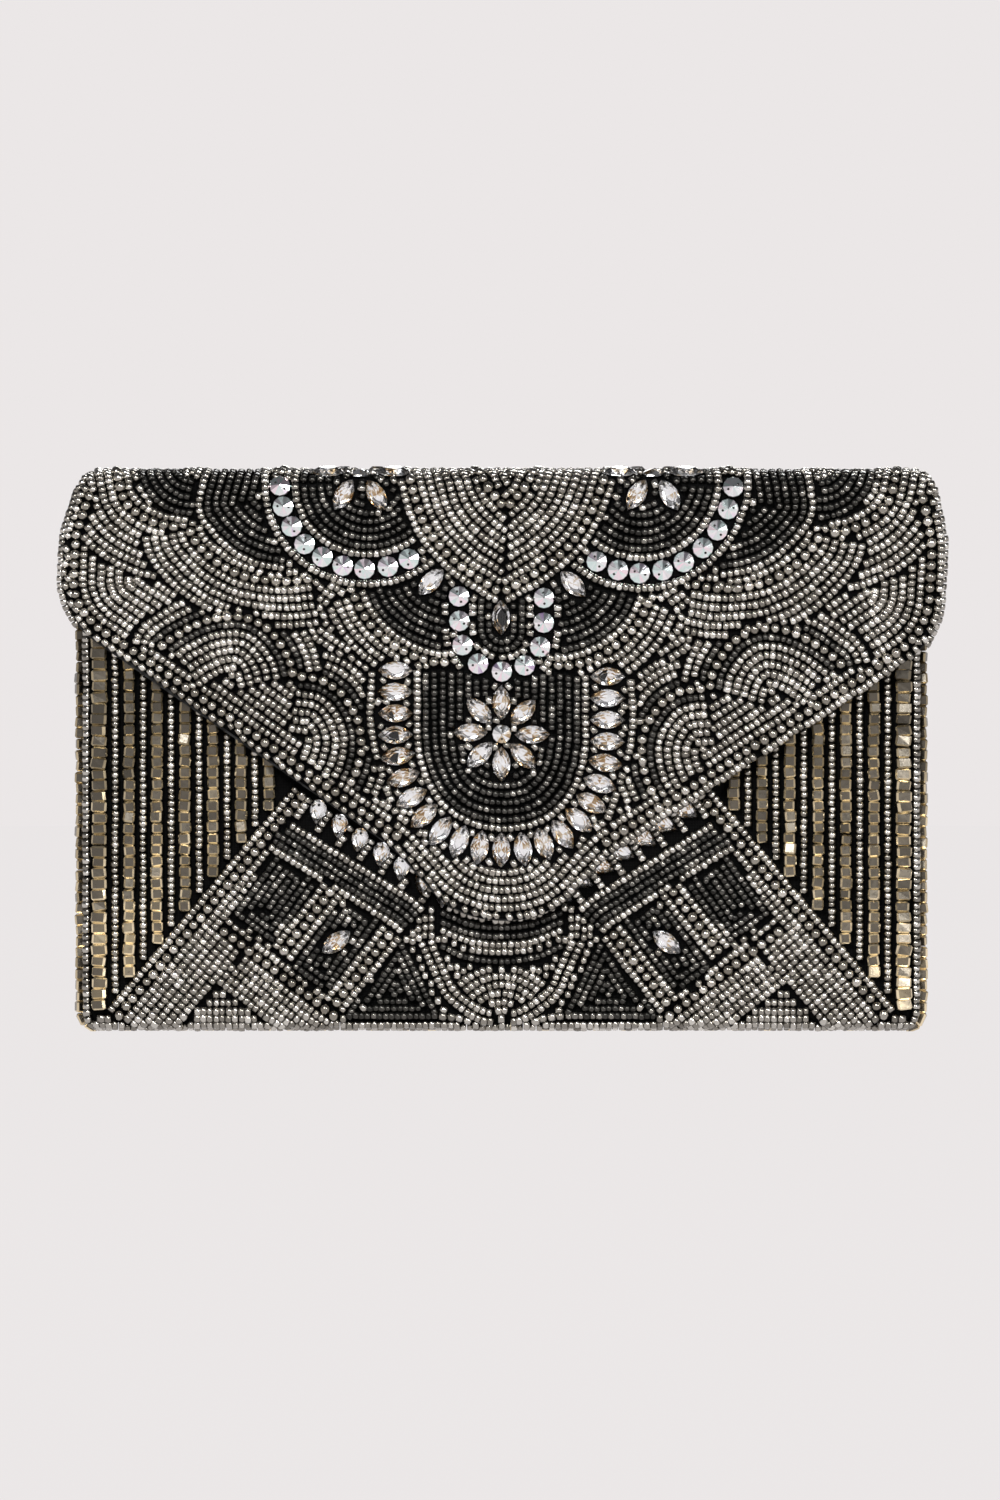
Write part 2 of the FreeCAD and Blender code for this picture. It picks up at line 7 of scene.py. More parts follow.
# %% Load the frame
import json
import bpy
import numpy as np
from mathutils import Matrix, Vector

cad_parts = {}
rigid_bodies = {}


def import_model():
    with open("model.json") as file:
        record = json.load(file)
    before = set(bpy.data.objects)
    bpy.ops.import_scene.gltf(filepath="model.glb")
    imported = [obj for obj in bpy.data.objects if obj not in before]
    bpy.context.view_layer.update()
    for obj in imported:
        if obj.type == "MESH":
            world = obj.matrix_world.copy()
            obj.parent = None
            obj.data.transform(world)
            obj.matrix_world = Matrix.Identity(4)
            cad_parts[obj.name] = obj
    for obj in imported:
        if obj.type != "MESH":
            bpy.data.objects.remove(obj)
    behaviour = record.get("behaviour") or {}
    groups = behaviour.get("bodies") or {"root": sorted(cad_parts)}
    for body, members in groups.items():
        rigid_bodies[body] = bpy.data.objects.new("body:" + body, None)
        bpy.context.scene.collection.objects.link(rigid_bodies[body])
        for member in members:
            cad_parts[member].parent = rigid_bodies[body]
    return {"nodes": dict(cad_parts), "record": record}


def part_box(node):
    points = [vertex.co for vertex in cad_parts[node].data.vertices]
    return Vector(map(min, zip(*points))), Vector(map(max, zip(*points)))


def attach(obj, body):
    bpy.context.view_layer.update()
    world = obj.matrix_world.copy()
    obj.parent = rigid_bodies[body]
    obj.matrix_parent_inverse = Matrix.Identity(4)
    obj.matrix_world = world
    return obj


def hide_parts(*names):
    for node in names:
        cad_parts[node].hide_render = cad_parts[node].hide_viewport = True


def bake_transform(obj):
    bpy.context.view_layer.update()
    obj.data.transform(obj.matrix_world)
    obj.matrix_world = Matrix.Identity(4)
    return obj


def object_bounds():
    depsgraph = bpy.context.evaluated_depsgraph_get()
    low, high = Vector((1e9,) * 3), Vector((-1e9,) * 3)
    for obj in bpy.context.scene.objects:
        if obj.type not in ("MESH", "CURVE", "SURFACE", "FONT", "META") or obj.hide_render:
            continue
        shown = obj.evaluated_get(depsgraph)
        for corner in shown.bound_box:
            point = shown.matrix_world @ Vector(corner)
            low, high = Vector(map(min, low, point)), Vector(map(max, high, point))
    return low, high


for thing in list(bpy.data.objects):
    bpy.data.objects.remove(thing)
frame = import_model()
cad_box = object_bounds()
rng = np.random.default_rng(7)

# %% [markdown]
# ## Measures taken from the frame
# Every piece lies on the cloth, so the places of the cloth's faces are read from the CAD nodes
# instead of being typed in again.  Lengths in this lesson are millimetres until a mesh is written.

# %% Measures
MM = 0.001


def span(node):
    """Lowest and highest corner of a CAD node in millimetres."""
    low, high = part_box(node)
    return np.array(low) / MM, np.array(high) / MM


flap_low, flap_high = span("flap_cloth")
front_low, front_high = span("front_cloth")
back_high = span("back_cloth")[1]
spine_low, spine_high = span("spine_cloth")
crease_z = flap_high[2]
flap_face = flap_low[1]
pouch_face = front_low[1]
back_face = back_high[1]
mouth_z = front_high[2]
spine_front, spine_back = spine_low[1], spine_high[1]
spine_top = spine_high[2]
crease_r = spine_top - crease_z
SEED, SEED_LONG = 2.3, 1.76          # a seed bead across its strand and along it
bead_r = crease_r + SEED / 2
quarter_run = bead_r * np.pi / 2
spine_run = spine_back - spine_front
T1 = crease_z + quarter_run
T2 = T1 + spine_run
T3 = T2 + quarter_run
TOP = (T1 + T2) / 2
cloth_half = back_high[0]
SOFT_WALL = 1.9                      # cloth, board and lining together
side_r = 4.0 + SOFT_WALL
side_flat = cloth_half - side_r
side_depth = back_face - pouch_face - 2 * side_r
bottom_z = 5.2                       # where the walls begin to turn under
bottom_r = 1.0 + SOFT_WALL
half_round = 2 * side_flat + np.pi * side_r + side_depth
BAND = 38                            # how far the beaded band runs down the back
print("crease z %.1f, crease radius %.2f, once round half the pouch %.1f" % (crease_z, crease_r, half_round))

# %% [markdown]
# ## Two surfaces to sew on
# A bead is easiest to place on flat cloth, as the sewer does on an embroidery frame.  So the beads
# are laid on two flat maps, and a formula then bends each map round the purse: one map for the flap,
# spine and the top of the back, one for the pouch.  Bending whole arrays of vertices this way also
# bends each bead with the cloth, which hand-placed objects would not do.

# %% Bend the flat maps


def drift(t):
    """How far the hand-made flap has slipped to the right: 0 below 125 mm, 1.5 mm from 155 mm up."""
    return 1.5 * np.clip((t - 125) / 30, 0, 1)


def lean(x, t):
    """How far it hangs down to the right: 3 mm in 100 mm of width, fading out towards the top."""
    return 0.03 * x * np.clip((160 - t) / 60, 0, 1)


def wrap(x, t, h):
    """Flat run t up the flap, round the crease, over the spine and down the back; h is outwards.

    Each crease is a quarter turn of radius crease_r + h, reached at an angle of run / bead_r.
    """
    x, t = x + drift(t), t - lean(x, t)
    soft = np.clip((crease_z - t) / 30, 0, 1)
    h = h + 0.2 * soft * np.sin(x / 19 + 1.0) * np.sin(t / 15 + x / 40)
    a = np.clip((t - crease_z) / bead_r, 0, np.pi / 2)
    b = np.clip((t - T2) / bead_r, 0, np.pi / 2)
    flat = np.clip(t - T1, 0, spine_run)
    r = crease_r + h
    y = np.where(t < T2, spine_front + flat - r * np.cos(a), spine_back + r * np.sin(b))
    up = np.where(t < T2, crease_z + r * np.sin(a), crease_z + r * np.cos(b))
    up = up + np.minimum(t - crease_z, 0) - np.maximum(t - T3, 0)
    return np.stack([x, y, up], -1)


def pouch(s, t, h):
    """Flat run s round the pouch from the front's middle and height t, tucked under below the edge.

    Two quarter turns of radius side_r make each side, and one of bottom_r + h makes the underside.
    """
    side = np.sign(s)
    run = np.abs(s)
    a = np.clip((run - side_flat) / side_r, 0, np.pi / 2)
    b = np.clip((run - side_flat - side_r * np.pi / 2 - side_depth) / side_r, 0, np.pi / 2)
    along = np.clip(run - side_flat - side_r * np.pi / 2, 0, side_depth)
    back = np.maximum(run - side_flat - side_r * np.pi - side_depth, 0)
    turn = a + b
    nx, ny = np.sin(turn), -np.cos(turn)
    under = np.clip((bottom_z - t) / (bottom_r + SEED / 2), 0, np.pi / 2)
    inward = np.maximum(bottom_z - t - (bottom_r + SEED / 2) * np.pi / 2, 0)
    out = (bottom_r + h) * np.cos(under) - bottom_r - inward
    x = np.minimum(run, side_flat) - back + side_r * nx + out * nx
    y = pouch_face + side_r + along + side_r * ny + out * ny
    z = np.where(t < bottom_z, bottom_z - (bottom_r + h) * np.sin(under), t)
    return np.stack([side * x, y, z], -1)


print("flap face", wrap(np.array(0.), np.array(100.), 0.))
print("back face", pouch(np.array(half_round), np.array(50.), 0.))

# %% [markdown]
# ## Writing a mesh
# Every new piece ends as one mesh with its place in its vertices.  One helper takes arrays of points
# and faces, sets smooth or flat shading, and can store a number per point that a material reads.

# %% Mesh helper


def mesh_piece(name, points, faces, material, smooth=True, tone=None, facet=None, index=None):
    """A mesh object at the origin from millimetre points and equal-sided faces."""
    faces = [faces] if isinstance(faces, np.ndarray) else faces
    mesh = bpy.data.meshes.new(name)
    sizes = np.concatenate([np.full(len(f), f.shape[1]) for f in faces])
    starts = np.concatenate([[0], np.cumsum(sizes)[:-1]])
    mesh.vertices.add(len(points))
    mesh.vertices.foreach_set("co", (points * MM).astype(np.float32).ravel())
    mesh.loops.add(int(sizes.sum()))
    mesh.loops.foreach_set("vertex_index", np.concatenate([f.ravel() for f in faces]).astype(np.int32))
    mesh.polygons.add(len(sizes))
    mesh.polygons.foreach_set("loop_start", starts.astype(np.int32))
    mesh.polygons.foreach_set("use_smooth", np.full(len(sizes), smooth))
    materials = material if isinstance(material, (list, tuple)) else [material]
    for m in materials:
        mesh.materials.append(m)
    if index is not None:
        mesh.polygons.foreach_set("material_index", index.astype(np.int32))
    if tone is not None:
        mesh.attributes.new("tone", "FLOAT", "POINT").data.foreach_set("value", tone.astype(np.float32))
    if facet is not None:
        mesh.attributes.new("facet", "FLOAT", "FACE").data.foreach_set("value", facet.astype(np.float32))
    mesh.update(calc_edges=True)
    mesh.validate()
    piece = bpy.data.objects.new(name, mesh)
    bpy.context.scene.collection.objects.link(piece)
    return piece


# %% [markdown]
# ## Camera, floor and studio
# The purse is seen square on, at the height of its middle, through a long lens that keeps its sides
# parallel.  A pale floor and a pale room stand for the studio; soft panels give the metal beads
# something bright to reflect and the darker overhead gives them something dark.

# %% Camera
VIEW_WIDTH, FAR_AWAY = 0.283, 2.2    # metres across the view at the purse, and from there to the lens
FRAME_SHAPE, SENSOR = 1.5, 36        # height of the frame over its width, sensor height in mm
camera = bpy.data.objects.new("camera", bpy.data.cameras.new("camera"))
bpy.context.scene.collection.objects.link(camera)
camera.data.sensor_fit = "VERTICAL"
camera.data.sensor_height = SENSOR
camera.data.lens = SENSOR * FAR_AWAY / (VIEW_WIDTH * FRAME_SHAPE)
camera.location = (-0.0004, cad_box[0][1] - FAR_AWAY, 0.0798)
camera.rotation_euler = (np.pi / 2, 0, 0)
bpy.context.scene.camera = camera
print("lens %.0f mm" % camera.data.lens)

# %% Floor, room and lights


def principled(name, **values):
    """A material whose constant values sit on the shader's own sockets."""
    material = bpy.data.materials.new(name)
    material.use_nodes = True
    shader = material.node_tree.nodes["Principled BSDF"]
    for key, value in values.items():
        shader.inputs[key.replace("_", " ")].default_value = value
    return material, material.node_tree, shader


def add_node(tree, kind, **values):
    """A shader node with its inputs or settings filled in."""
    made = tree.nodes.new("ShaderNode" + kind)
    for key, value in values.items():
        if hasattr(made, key):
            setattr(made, key, value)
        else:
            made.inputs[key.replace("_", " ")].default_value = value
    return made


def colour_ramp(tree, source, stops):
    """Colours at positions along a value."""
    made = tree.nodes.new("ShaderNodeValToRGB")
    tree.links.new(source, made.inputs[0])
    while len(made.color_ramp.elements) < len(stops):
        made.color_ramp.elements.new(0.5)
    for element, (position, colour) in zip(made.color_ramp.elements, stops):
        element.position, element.color = position, (*colour, 1)
    return made.outputs[0]


def sums(tree, operation, *values):
    """A Math node's result; each of its inputs is a number or another node's output."""
    made = add_node(tree, "Math", operation=operation)
    for socket, value in zip(made.inputs, values):
        if isinstance(value, float):
            socket.default_value = value
        else:
            tree.links.new(value, socket)
    return made.outputs[0]


def cloudy(tree, scale, detail):
    """Soft noise on Object coordinates."""
    place = add_node(tree, "TexCoord")
    noise = add_node(tree, "TexNoise", Scale=scale, Detail=detail)
    tree.links.new(place.outputs["Object"], noise.inputs["Vector"])
    return noise.outputs["Fac"]


bpy.context.scene.view_settings.view_transform = "Standard"
floor_finish, tree, shader = principled("studio_paper", Roughness=0.9, Specular_IOR_Level=0.0)
shader.inputs["Base Color"].default_value = (0.004, 0.004, 0.004, 1)
shader.inputs["Emission Color"].default_value = (0.83, 0.80, 0.80, 1)
shader.inputs["Emission Strength"].default_value = 0.99
floor_points = np.array([[-6, -6, 0], [6, -6, 0], [6, 6, 0], [-6, 6, 0]], float) * 1000 - [0, 0, 0.3]
floor = mesh_piece("floor", floor_points, np.array([[0, 1, 2, 3]]), floor_finish, smooth=False)

world = bpy.data.worlds.new("studio")
bpy.context.scene.world = world
world.use_nodes = True
tree = world.node_tree
parts = add_node(tree, "SeparateXYZ")
tree.links.new(add_node(tree, "TexCoord").outputs["Generated"], parts.inputs[0])
room = colour_ramp(tree, parts.outputs["Z"], [(0.10, (0.831, 0.799, 0.799)), (0.42, (0.12, 0.12, 0.125))])
tree.links.new(room, tree.nodes["Background"].inputs[0])


def panel(name, place, aim, size, watts):
    """A soft rectangular light at a place, turned towards a point."""
    data = bpy.data.lights.new(name, "AREA")
    data.shape, data.size, data.size_y, data.energy = "RECTANGLE", size[0], size[1], watts
    lamp = bpy.data.objects.new(name, data)
    bpy.context.scene.collection.objects.link(lamp)
    lamp.location = place
    gap = np.array(aim, float) - np.array(place, float)
    tip = np.arccos(-gap[2] / np.linalg.norm(gap))
    lamp.rotation_euler = (tip, 0, np.arctan2(gap[1], gap[0]) - np.pi / 2)


MIDDLE = (0, 0, 0.08)
panel("key", (-0.35, -1.5, 0.95), MIDDLE, (0.45, 0.4), 32)
panel("fill", (0.9, -1.3, 0.55), MIDDLE, (0.3, 0.5), 14)
panel("rim", (0.2, 1.2, 0.9), MIDDLE, (0.8, 0.4), 8)
print("floor, room and three panels")

# %% [markdown]
# ## Strands on the flat map
# Bead embroidery is strands laid side by side: a guide line first, then strands at even distances
# from it until the ground is covered.  A strand here is a curve shifted sideways by a distance, and
# beads are stepped along it.  A fine occupancy grid remembers covered cloth, so a strand stops where
# another one lies, just as it does under the needle.

# %% Curves


def smooth(points, step=0.4):
    """Catmull-Rom curve through the points, as points at an even step."""
    p = np.asarray(points, float)
    p = np.concatenate([[2 * p[0] - p[1]], p, [2 * p[-1] - p[-2]]])
    u = np.linspace(0, 1, 24, endpoint=False)[:, None, None]
    a, b, c, d = p[:-3], p[1:-2], p[2:-1], p[3:]
    square, cube = 2 * a - 5 * b + 4 * c - d, 3 * b - a - 3 * c + d
    curve = 0.5 * (2 * b + (c - a) * u + square * u ** 2 + cube * u ** 3)
    curve = np.concatenate([curve.transpose(1, 0, 2).reshape(-1, 2), p[-2:-1]])
    return evenly(curve, step)


def lengths(curve):
    """Distance along a line to each of its points: the running total of its steps."""
    return np.concatenate([[0], np.cumsum(np.linalg.norm(np.diff(curve, axis=0), axis=1))])


def points_at(curve, run, at):
    """Points of a line at given distances along it, between its own points by proportion."""
    return np.stack([np.interp(at, run, curve[:, 0]), np.interp(at, run, curve[:, 1])], 1)


def evenly(curve, step):
    """The same line as points at an even step along its length."""
    run = lengths(curve)
    return points_at(curve, run, np.linspace(0, run[-1], max(int(run[-1] / step) + 1, 2)))


def straight(points, step=0.4):
    """A line with sharp corners, as points at an even step."""
    return evenly(np.asarray(points, float), step)


def joined(points):
    """A symmetric line from its right half, whose first point lies on the centre line."""
    p = np.asarray(points, float)
    return smooth(np.concatenate([p[::-1] * [-1, 1], p[1:]]))


def flipped(curve):
    """The same line on the other side of the centre line."""
    return curve * [-1, 1]


def ring(x, t, r, first=0.0, last=360.0):
    """Arc about a centre, angles in degrees from +X."""
    a = np.radians(np.linspace(first, last, max(int(abs(last - first) * r / 25), 16)))
    return straight(np.stack([x + r * np.cos(a), t + r * np.sin(a)], 1), min(0.4, r / 8))


def stretches(flags, least):
    """Start and end, as for a slice, of each unbroken run of true flags longer than a length."""
    edges = np.flatnonzero(np.diff(np.concatenate([[0], flags.astype(int), [0]])))
    return [(a, b) for a, b in zip(edges[::2], edges[1::2]) if b - a > least]


def shifted(curve, distance, towards):
    """The runs of a curve moved sideways by a distance, to the side where the given point lies."""
    if distance == 0:
        return [curve]
    d = np.gradient(curve, axis=0)
    d /= np.maximum(np.linalg.norm(d, axis=1), 1e-9)[:, None]
    n = np.stack([-d[:, 1], d[:, 0]], 1)
    near = np.argmin(np.linalg.norm(curve - towards, axis=1))
    side = np.sign(((towards - curve[near]) * n[near]).sum()) or 1.0
    moved = curve + n * side * distance
    gap = np.sqrt(((moved[:, None, :] - curve[None, ::2, :]) ** 2).sum(-1)).min(1)
    return [moved[a:b] for a, b in stretches(gap > 0.985 * distance - 0.03, 3)]


print("curve helpers ready")

# %% Occupancy grid
KINDS = {  # width across the strand, step along it, height of the middle above the cloth
    "silver": (SEED, 1.80, SEED / 2),
    "dark": (2.15, 1.72, 1.08),
    "round": (2.9, 3.0, 1.40),
    "cube": (3.0, 3.12, 1.5),
}
CELL = 0.15


class Ground:
    """Cloth to be covered: a grid of free cells and the beads laid on it so far."""

    def __init__(self, x_span, t_span, inside, mirror_top=None):
        self.low = np.array([x_span[0], t_span[0]])
        xs = np.arange(x_span[0], x_span[1], CELL)
        ts = np.arange(t_span[0], t_span[1], CELL)
        gx, gt = np.meshgrid(xs, ts)
        self.free = inside(gx, gt)
        self.mirror_top = mirror_top
        self.beads = {kind: [] for kind in KINDS}

    def cells(self, p):
        """Column and row of the cell under each point, and whether the point is on the grid."""
        i = ((p - self.low) / CELL).astype(int)
        rows, columns = self.free.shape
        ok = (i >= 0).all(-1) & (i[..., 0] < columns) & (i[..., 1] < rows)
        return np.clip(i[..., 0], 0, columns - 1), np.clip(i[..., 1], 0, rows - 1), ok

    def around(self, p, angle, width, length, n):
        """n by n points over a bead's footprint."""
        u = np.linspace(-0.5, 0.5, n)
        a, b = (g.ravel() for g in np.meshgrid(u * length, u * width))
        c, s = np.cos(angle)[:, None], np.sin(angle)[:, None]
        return np.stack([p[:, :1] + a * c - b * s, p[:, 1:] + a * s + b * c], -1)

    def cover(self, x, t, turn, inside, reach):
        """Mark a stone's seat as taken; inside(a, b) says whether a local point is under it."""
        u = np.arange(-reach, reach, CELL * 0.7)
        a, b = (g.ravel() for g in np.meshgrid(u, u))
        keep = inside(a, b)
        a, b = a[keep], b[keep]
        c, s = np.cos(turn), np.sin(turn)
        i, j, ok = self.cells(np.stack([x + a * c - b * s, t + a * s + b * c], -1))
        self.free[j[ok], i[ok]] = False

    def lay(self, curve, kind, share=0.8, need=0.99):
        """Step beads along a curve and keep those that find free cloth."""
        width, step, _ = KINDS[kind]
        run = lengths(curve)
        count = int(run[-1] / step) + 1
        at = (run[-1] - (count - 1) * step) / 2 + np.arange(count) * step
        p = points_at(curve, run, at)
        angle = np.arctan2(*(points_at(curve, run, at + 0.6) - points_at(curve, run, at - 0.6)).T[::-1])
        i, j, ok = self.cells(self.around(p, angle, width * share, step * share, 3))
        keep = (self.free[j, i] & ok).mean(1) >= need
        p, angle = p[keep], angle[keep]
        if not len(p):
            return 0
        i, j, ok = self.cells(self.around(p, angle, width * 0.92, step * 0.95, 15))
        self.free[j[ok], i[ok]] = False
        self.beads[kind].append(np.column_stack([p, angle]))
        return len(p)

    def everywhere(self, curve, both=True):
        """The curve, its mirror image across the centre line, and both carried over the top."""
        copies = [curve, flipped(curve)] if both else [curve]
        if self.mirror_top is None:
            return copies
        runs = []
        for c in copies:
            for a, b in stretches(c[:, 1] <= self.mirror_top, 2):
                runs += [c[a:b], np.stack([c[a:b, 0], 2 * self.mirror_top - c[a:b, 1]], 1)]
        return runs

    def rows(self, guide, kinds, towards=(0, 0), start=0.0, step=2.55, both=True, **options):
        """Strands of the given kinds at growing distances from the guide."""
        laid = 0
        for i, kind in enumerate(kinds):
            for run in shifted(guide, start + i * step, np.asarray(towards, float)):
                for copy in self.everywhere(run, both):
                    laid += self.lay(copy, kind, **options)
        return laid

    def all(self, kind):
        """Every bead of a kind laid so far, as rows of (x, t, angle)."""
        return np.concatenate(self.beads[kind]) if self.beads[kind] else np.zeros((0, 3))


print("grid cell %.2f mm" % CELL)

# %% [markdown]
# ## The flap's outline
# The flap is a wide band with rounded lower corners that narrows along two straight edges to a blunt
# tip.  Rounding each corner of a polygon with a tangent arc gives the same outline as the CAD's.

# %% Flap outline


def rounded(corners, step=0.4):
    """Line through (x, z, radius) corners with each one rounded by a tangent arc."""
    c = np.asarray(corners, float)
    points = [c[0, :2]]
    for k in range(1, len(c) - 1):
        before, after = c[k - 1, :2] - c[k, :2], c[k + 1, :2] - c[k, :2]
        before, after = before / np.linalg.norm(before), after / np.linalg.norm(after)
        half = np.arccos(np.clip(before @ after, -1, 1)) / 2
        middle = before + after
        centre = c[k, :2] + middle / np.linalg.norm(middle) * c[k, 2] / np.sin(half)
        a, b = c[k, :2] + before * c[k, 2] / np.tan(half), c[k, :2] + after * c[k, 2] / np.tan(half)
        u = np.linspace(0, 1, 14)[:, None]
        chord = a + (b - a) * u - centre
        points += list(centre + chord / np.linalg.norm(chord, axis=1)[:, None] * c[k, 2])
    points.append(c[-1, :2])
    return evenly(np.array(points), step)


top_half = spine_high[0]
flap_half = (flap_high[0] - flap_low[0]) / 2
CORNER_Z, BEND_X, BEND_Z = 114.5, 30, 50.5
EDGE_RISE = (CORNER_Z - BEND_Z) / (flap_half - BEND_X)
flap_right = [(top_half, crease_z, 0), (flap_half, 140, 22), (flap_half, CORNER_Z, 22), (BEND_X, BEND_Z, 40),
              (13, 31.4, 27)]
outline = rounded(flap_right + [(-x, z, r) for x, z, r in flap_right[::-1]])
right_edge = outline[: len(outline) // 2]
order = np.argsort(right_edge[:, 1])
half_at = (right_edge[order, 1], right_edge[order, 0])
print("flap half width %.1f, tip at %.1f" % (flap_half, outline[:, 1].min()))


def top_edge(t):
    """Half width over the top: drawn in at the middle of the spine, so that the ends look rounded."""
    return top_half - 4.0 * np.sin(np.pi * np.clip((t - crease_z) / (T3 - crease_z), 0, 1))


def on_flap_cloth(x, t):
    """True on the flap, the creases, the spine and the beaded band of the back."""
    half = np.interp(t, *half_at)
    half = np.where(t > crease_z, top_edge(t) - 0.3, half - 0.1)
    half = np.where(t > T3, side_flat, half)
    return (np.abs(x) < half) & (t > half_at[0][0]) & (t < T3 + BAND)


flap_ground = Ground((-127, 127), (30, T3 + BAND + 2), on_flap_cloth, mirror_top=TOP)
print("flap map", flap_ground.free.shape)

# %% [markdown]
# ## Stones
# The stones are pointed ovals, pears and rounds in foiled glass, sewn through small holes.  Their
# places come from the frame: each CAD stone group is a set of separate solids, so its vertices are
# grouped by stone and each stone's middle and long direction are worked out from them.

# %% Find the stones
ROUND_KINDS = ("round", "centre")
STONE_NODES = {
    "marquise_arc": "marquise", "flower_petals": "marquise", "lone_marquises": "marquise",
    "inner_marquise": "marquise", "front_marquises": "marquise", "pear_crystals": "pear",
    "round_stone_u": "round", "round_stone_swags": "round", "flower_centre": "centre",
    "top_flower_centres": "centre", "top_flower_flap_petals": "marquise",
    "top_flower_spine_petals": "marquise",
}


def separate(node):
    """Vertices of each stone of a CAD node: points nearer than a stone's facet are one stone."""
    mesh = frame["nodes"][node].data
    co = np.zeros(len(mesh.vertices) * 3)
    mesh.vertices.foreach_get("co", co)
    co = co.reshape(-1, 3) / MM
    tris = np.zeros(len(mesh.polygons) * 3, int)
    mesh.polygons.foreach_get("vertices", tris)
    same, back = np.unique(np.round(co, 2), axis=0, return_inverse=True)
    back = back.ravel()
    tri = back[tris.reshape(-1, 3)]
    label = np.arange(len(same))
    for _ in range(400):
        best = label[tri].min(1)
        new = label.copy()
        np.minimum.at(new, tri.ravel(), np.repeat(best, 3))
        if (new == label).all():
            break
        label = new
    return [same[label == k] for k in np.unique(label)]


def stone_frame(points, kind):
    """Middle of the foot, long direction, across direction and outward direction of one stone."""
    flat = points - points.mean(0)
    near_top = points[:, 2].max() > crease_z + 4 and points[:, 1].max() > flap_face + 0.3
    axes = np.linalg.eigh(flat.T @ flat)[1]
    if not near_top:
        plane = np.linalg.eigh(flat[:, ::2].T @ flat[:, ::2])[1]
        axes = np.array([[0.0, plane[0, 0], plane[0, 1]], [-1.0, 0, 0], [0.0, plane[1, 0], plane[1, 1]]])
    if kind in ROUND_KINDS:
        out = axes[:, 0]
        long = np.array([1.0, 0, 0])
        long = long - out * (long @ out)
    else:
        out, long = axes[:, 0], axes[:, 2]
    if out @ np.array([0, -1, 1.0 if near_top else 0.0]) < 0:
        out = -out
    long = long / np.linalg.norm(long)
    height = points @ out
    foot = points.mean(0) - out * (height.mean() - height.min())
    reach = (points - foot) @ long
    foot = foot + long * (reach.max() + reach.min()) / 2
    across = np.cross(out, long)
    width = (points - foot) @ across
    foot = foot + across * (width.max() + width.min()) / 2
    if kind == "pear":
        wide = [np.abs(width[np.abs(reach - q) < 1.3]).max() for q in (reach.min() + 1.2, reach.max() - 1.2)]
        if wide[0] < wide[1]:
            long, across = -long, -across
    return foot, long, across, out


stones = {node: [stone_frame(p, kind) for p in separate(node)] for node, kind in STONE_NODES.items()}
for node in stones:
    print(node, len(stones[node]))

# %% Leave each stone its seat on the maps


def unbend(point):
    """Place on the flap's flat map of a point on its cloth: the wrap formula turned round."""
    x, y, z = point
    if z <= crease_z and y < 0:
        t = z
    elif y < spine_front:
        t = crease_z + bead_r * np.arctan2(z - crease_z, spine_front - y)
    else:
        t = T1 + (y - spine_front)
    for _ in range(6):
        x0 = x - drift(t)
        t = (z if z <= crease_z and y < 0 else t) + lean(x0, t)
    return x0, t


STONE_SIZE = {"marquise": (10.0, 5.2), "pear": (7.2, 5.0), "round": (6.2, 6.2), "centre": (5.6, 5.6)}


def under_stone(kind, grow):
    """Test for local points under a stone: a pointed oval is the overlap of two circles."""
    length, width = STONE_SIZE[kind][0] / 2 + grow, STONE_SIZE[kind][1] / 2 + grow
    if kind in ROUND_KINDS:
        return lambda a, b: a ** 2 + b ** 2 < width ** 2
    r = (length ** 2 + width ** 2) / (2 * width)
    return lambda a, b: (np.abs(b) + r - width) ** 2 + a ** 2 < r ** 2


for node, kind in STONE_NODES.items():
    if node in ("pear_crystals", "front_marquises"):
        continue
    for foot, long, across, out in stones[node]:
        x, t = unbend(foot)
        on_top = abs(out[1]) <= 0.7 and abs(long[1]) > abs(long[2])
        flap_ground.cover(x, t, np.arctan2(long[1] if on_top else long[2], long[0]),
                          under_stone(kind, 0.05), 6.5)
print("free cloth on the flap map %.0f cm2" % (flap_ground.free.sum() * CELL ** 2 / 100))

# %% [markdown]
# ## The flap's pattern
# The sewer sets the large round metal beads first, as the outlines of scallops, a V and the edge.
# Dark strands nest inside the scallops and silver ones fill what is left, always following the
# nearest outline.  The same order is followed here, because each strand stops at what lies already.

# %% Outlines in round metal beads
g = flap_ground
g.rows(outline, ["silver"], (0, 100), start=1.0, both=False)
above_tip = outline[outline[:, 1] > 51]
side_runs = [above_tip[above_tip[:, 0] > 0], above_tip[above_tip[:, 0] < 0]]
for run in side_runs:
    for moved in shifted(run, 3.75, np.array([0, 110.0])):
        g.lay(moved, "round")
tip = outline[outline[:, 1] < 53]
g.rows(tip, ["silver"] * 5, (0, 100), start=3.7, step=2.5, both=False)

v_line = joined([(28.6, TOP + 1), (28.3, 161), (27.3, 156.4), (25.7, 151), (23.3, 145), (19.8, 139.5),
                 (15.5, 135),
                 (10.8, 131), (5.5, 127.8), (0, 124.8)][::-1])
small_v = joined([(9.5, TOP), (6.7, 156.6), (3.4, 152), (0, 148.9)][::-1])
wave_1 = smooth([(111, TOP + 1), (110.9, 162), (110.2, 157.5), (108.4, 150.8), (104.6, 146.5),
                 (98.5, 143.3), (93, 142)])
wave_2 = smooth([(89, 141.5), (88.1, 138.9), (83.9, 134.4), (78.6, 130.5), (73.1, 128), (67, 126.9),
                 (60.5, 126.6),
                 (54.2, 127.5)])
lobe_1 = smooth([(96.2, 106.5), (95.5, 107.5), (90, 111.4), (84.5, 114.2), (78.8, 115.8), (72.8, 115.8),
                 (67.3, 113.3),
                 (63.2, 109.2), (60.3, 104.2), (59, 99.5)])
lobe_2 = smooth([(57, 99), (51, 98), (46, 95), (42.2, 90), (40, 84.5), (39.8, 78.5), (41, 73), (42.8, 69)])
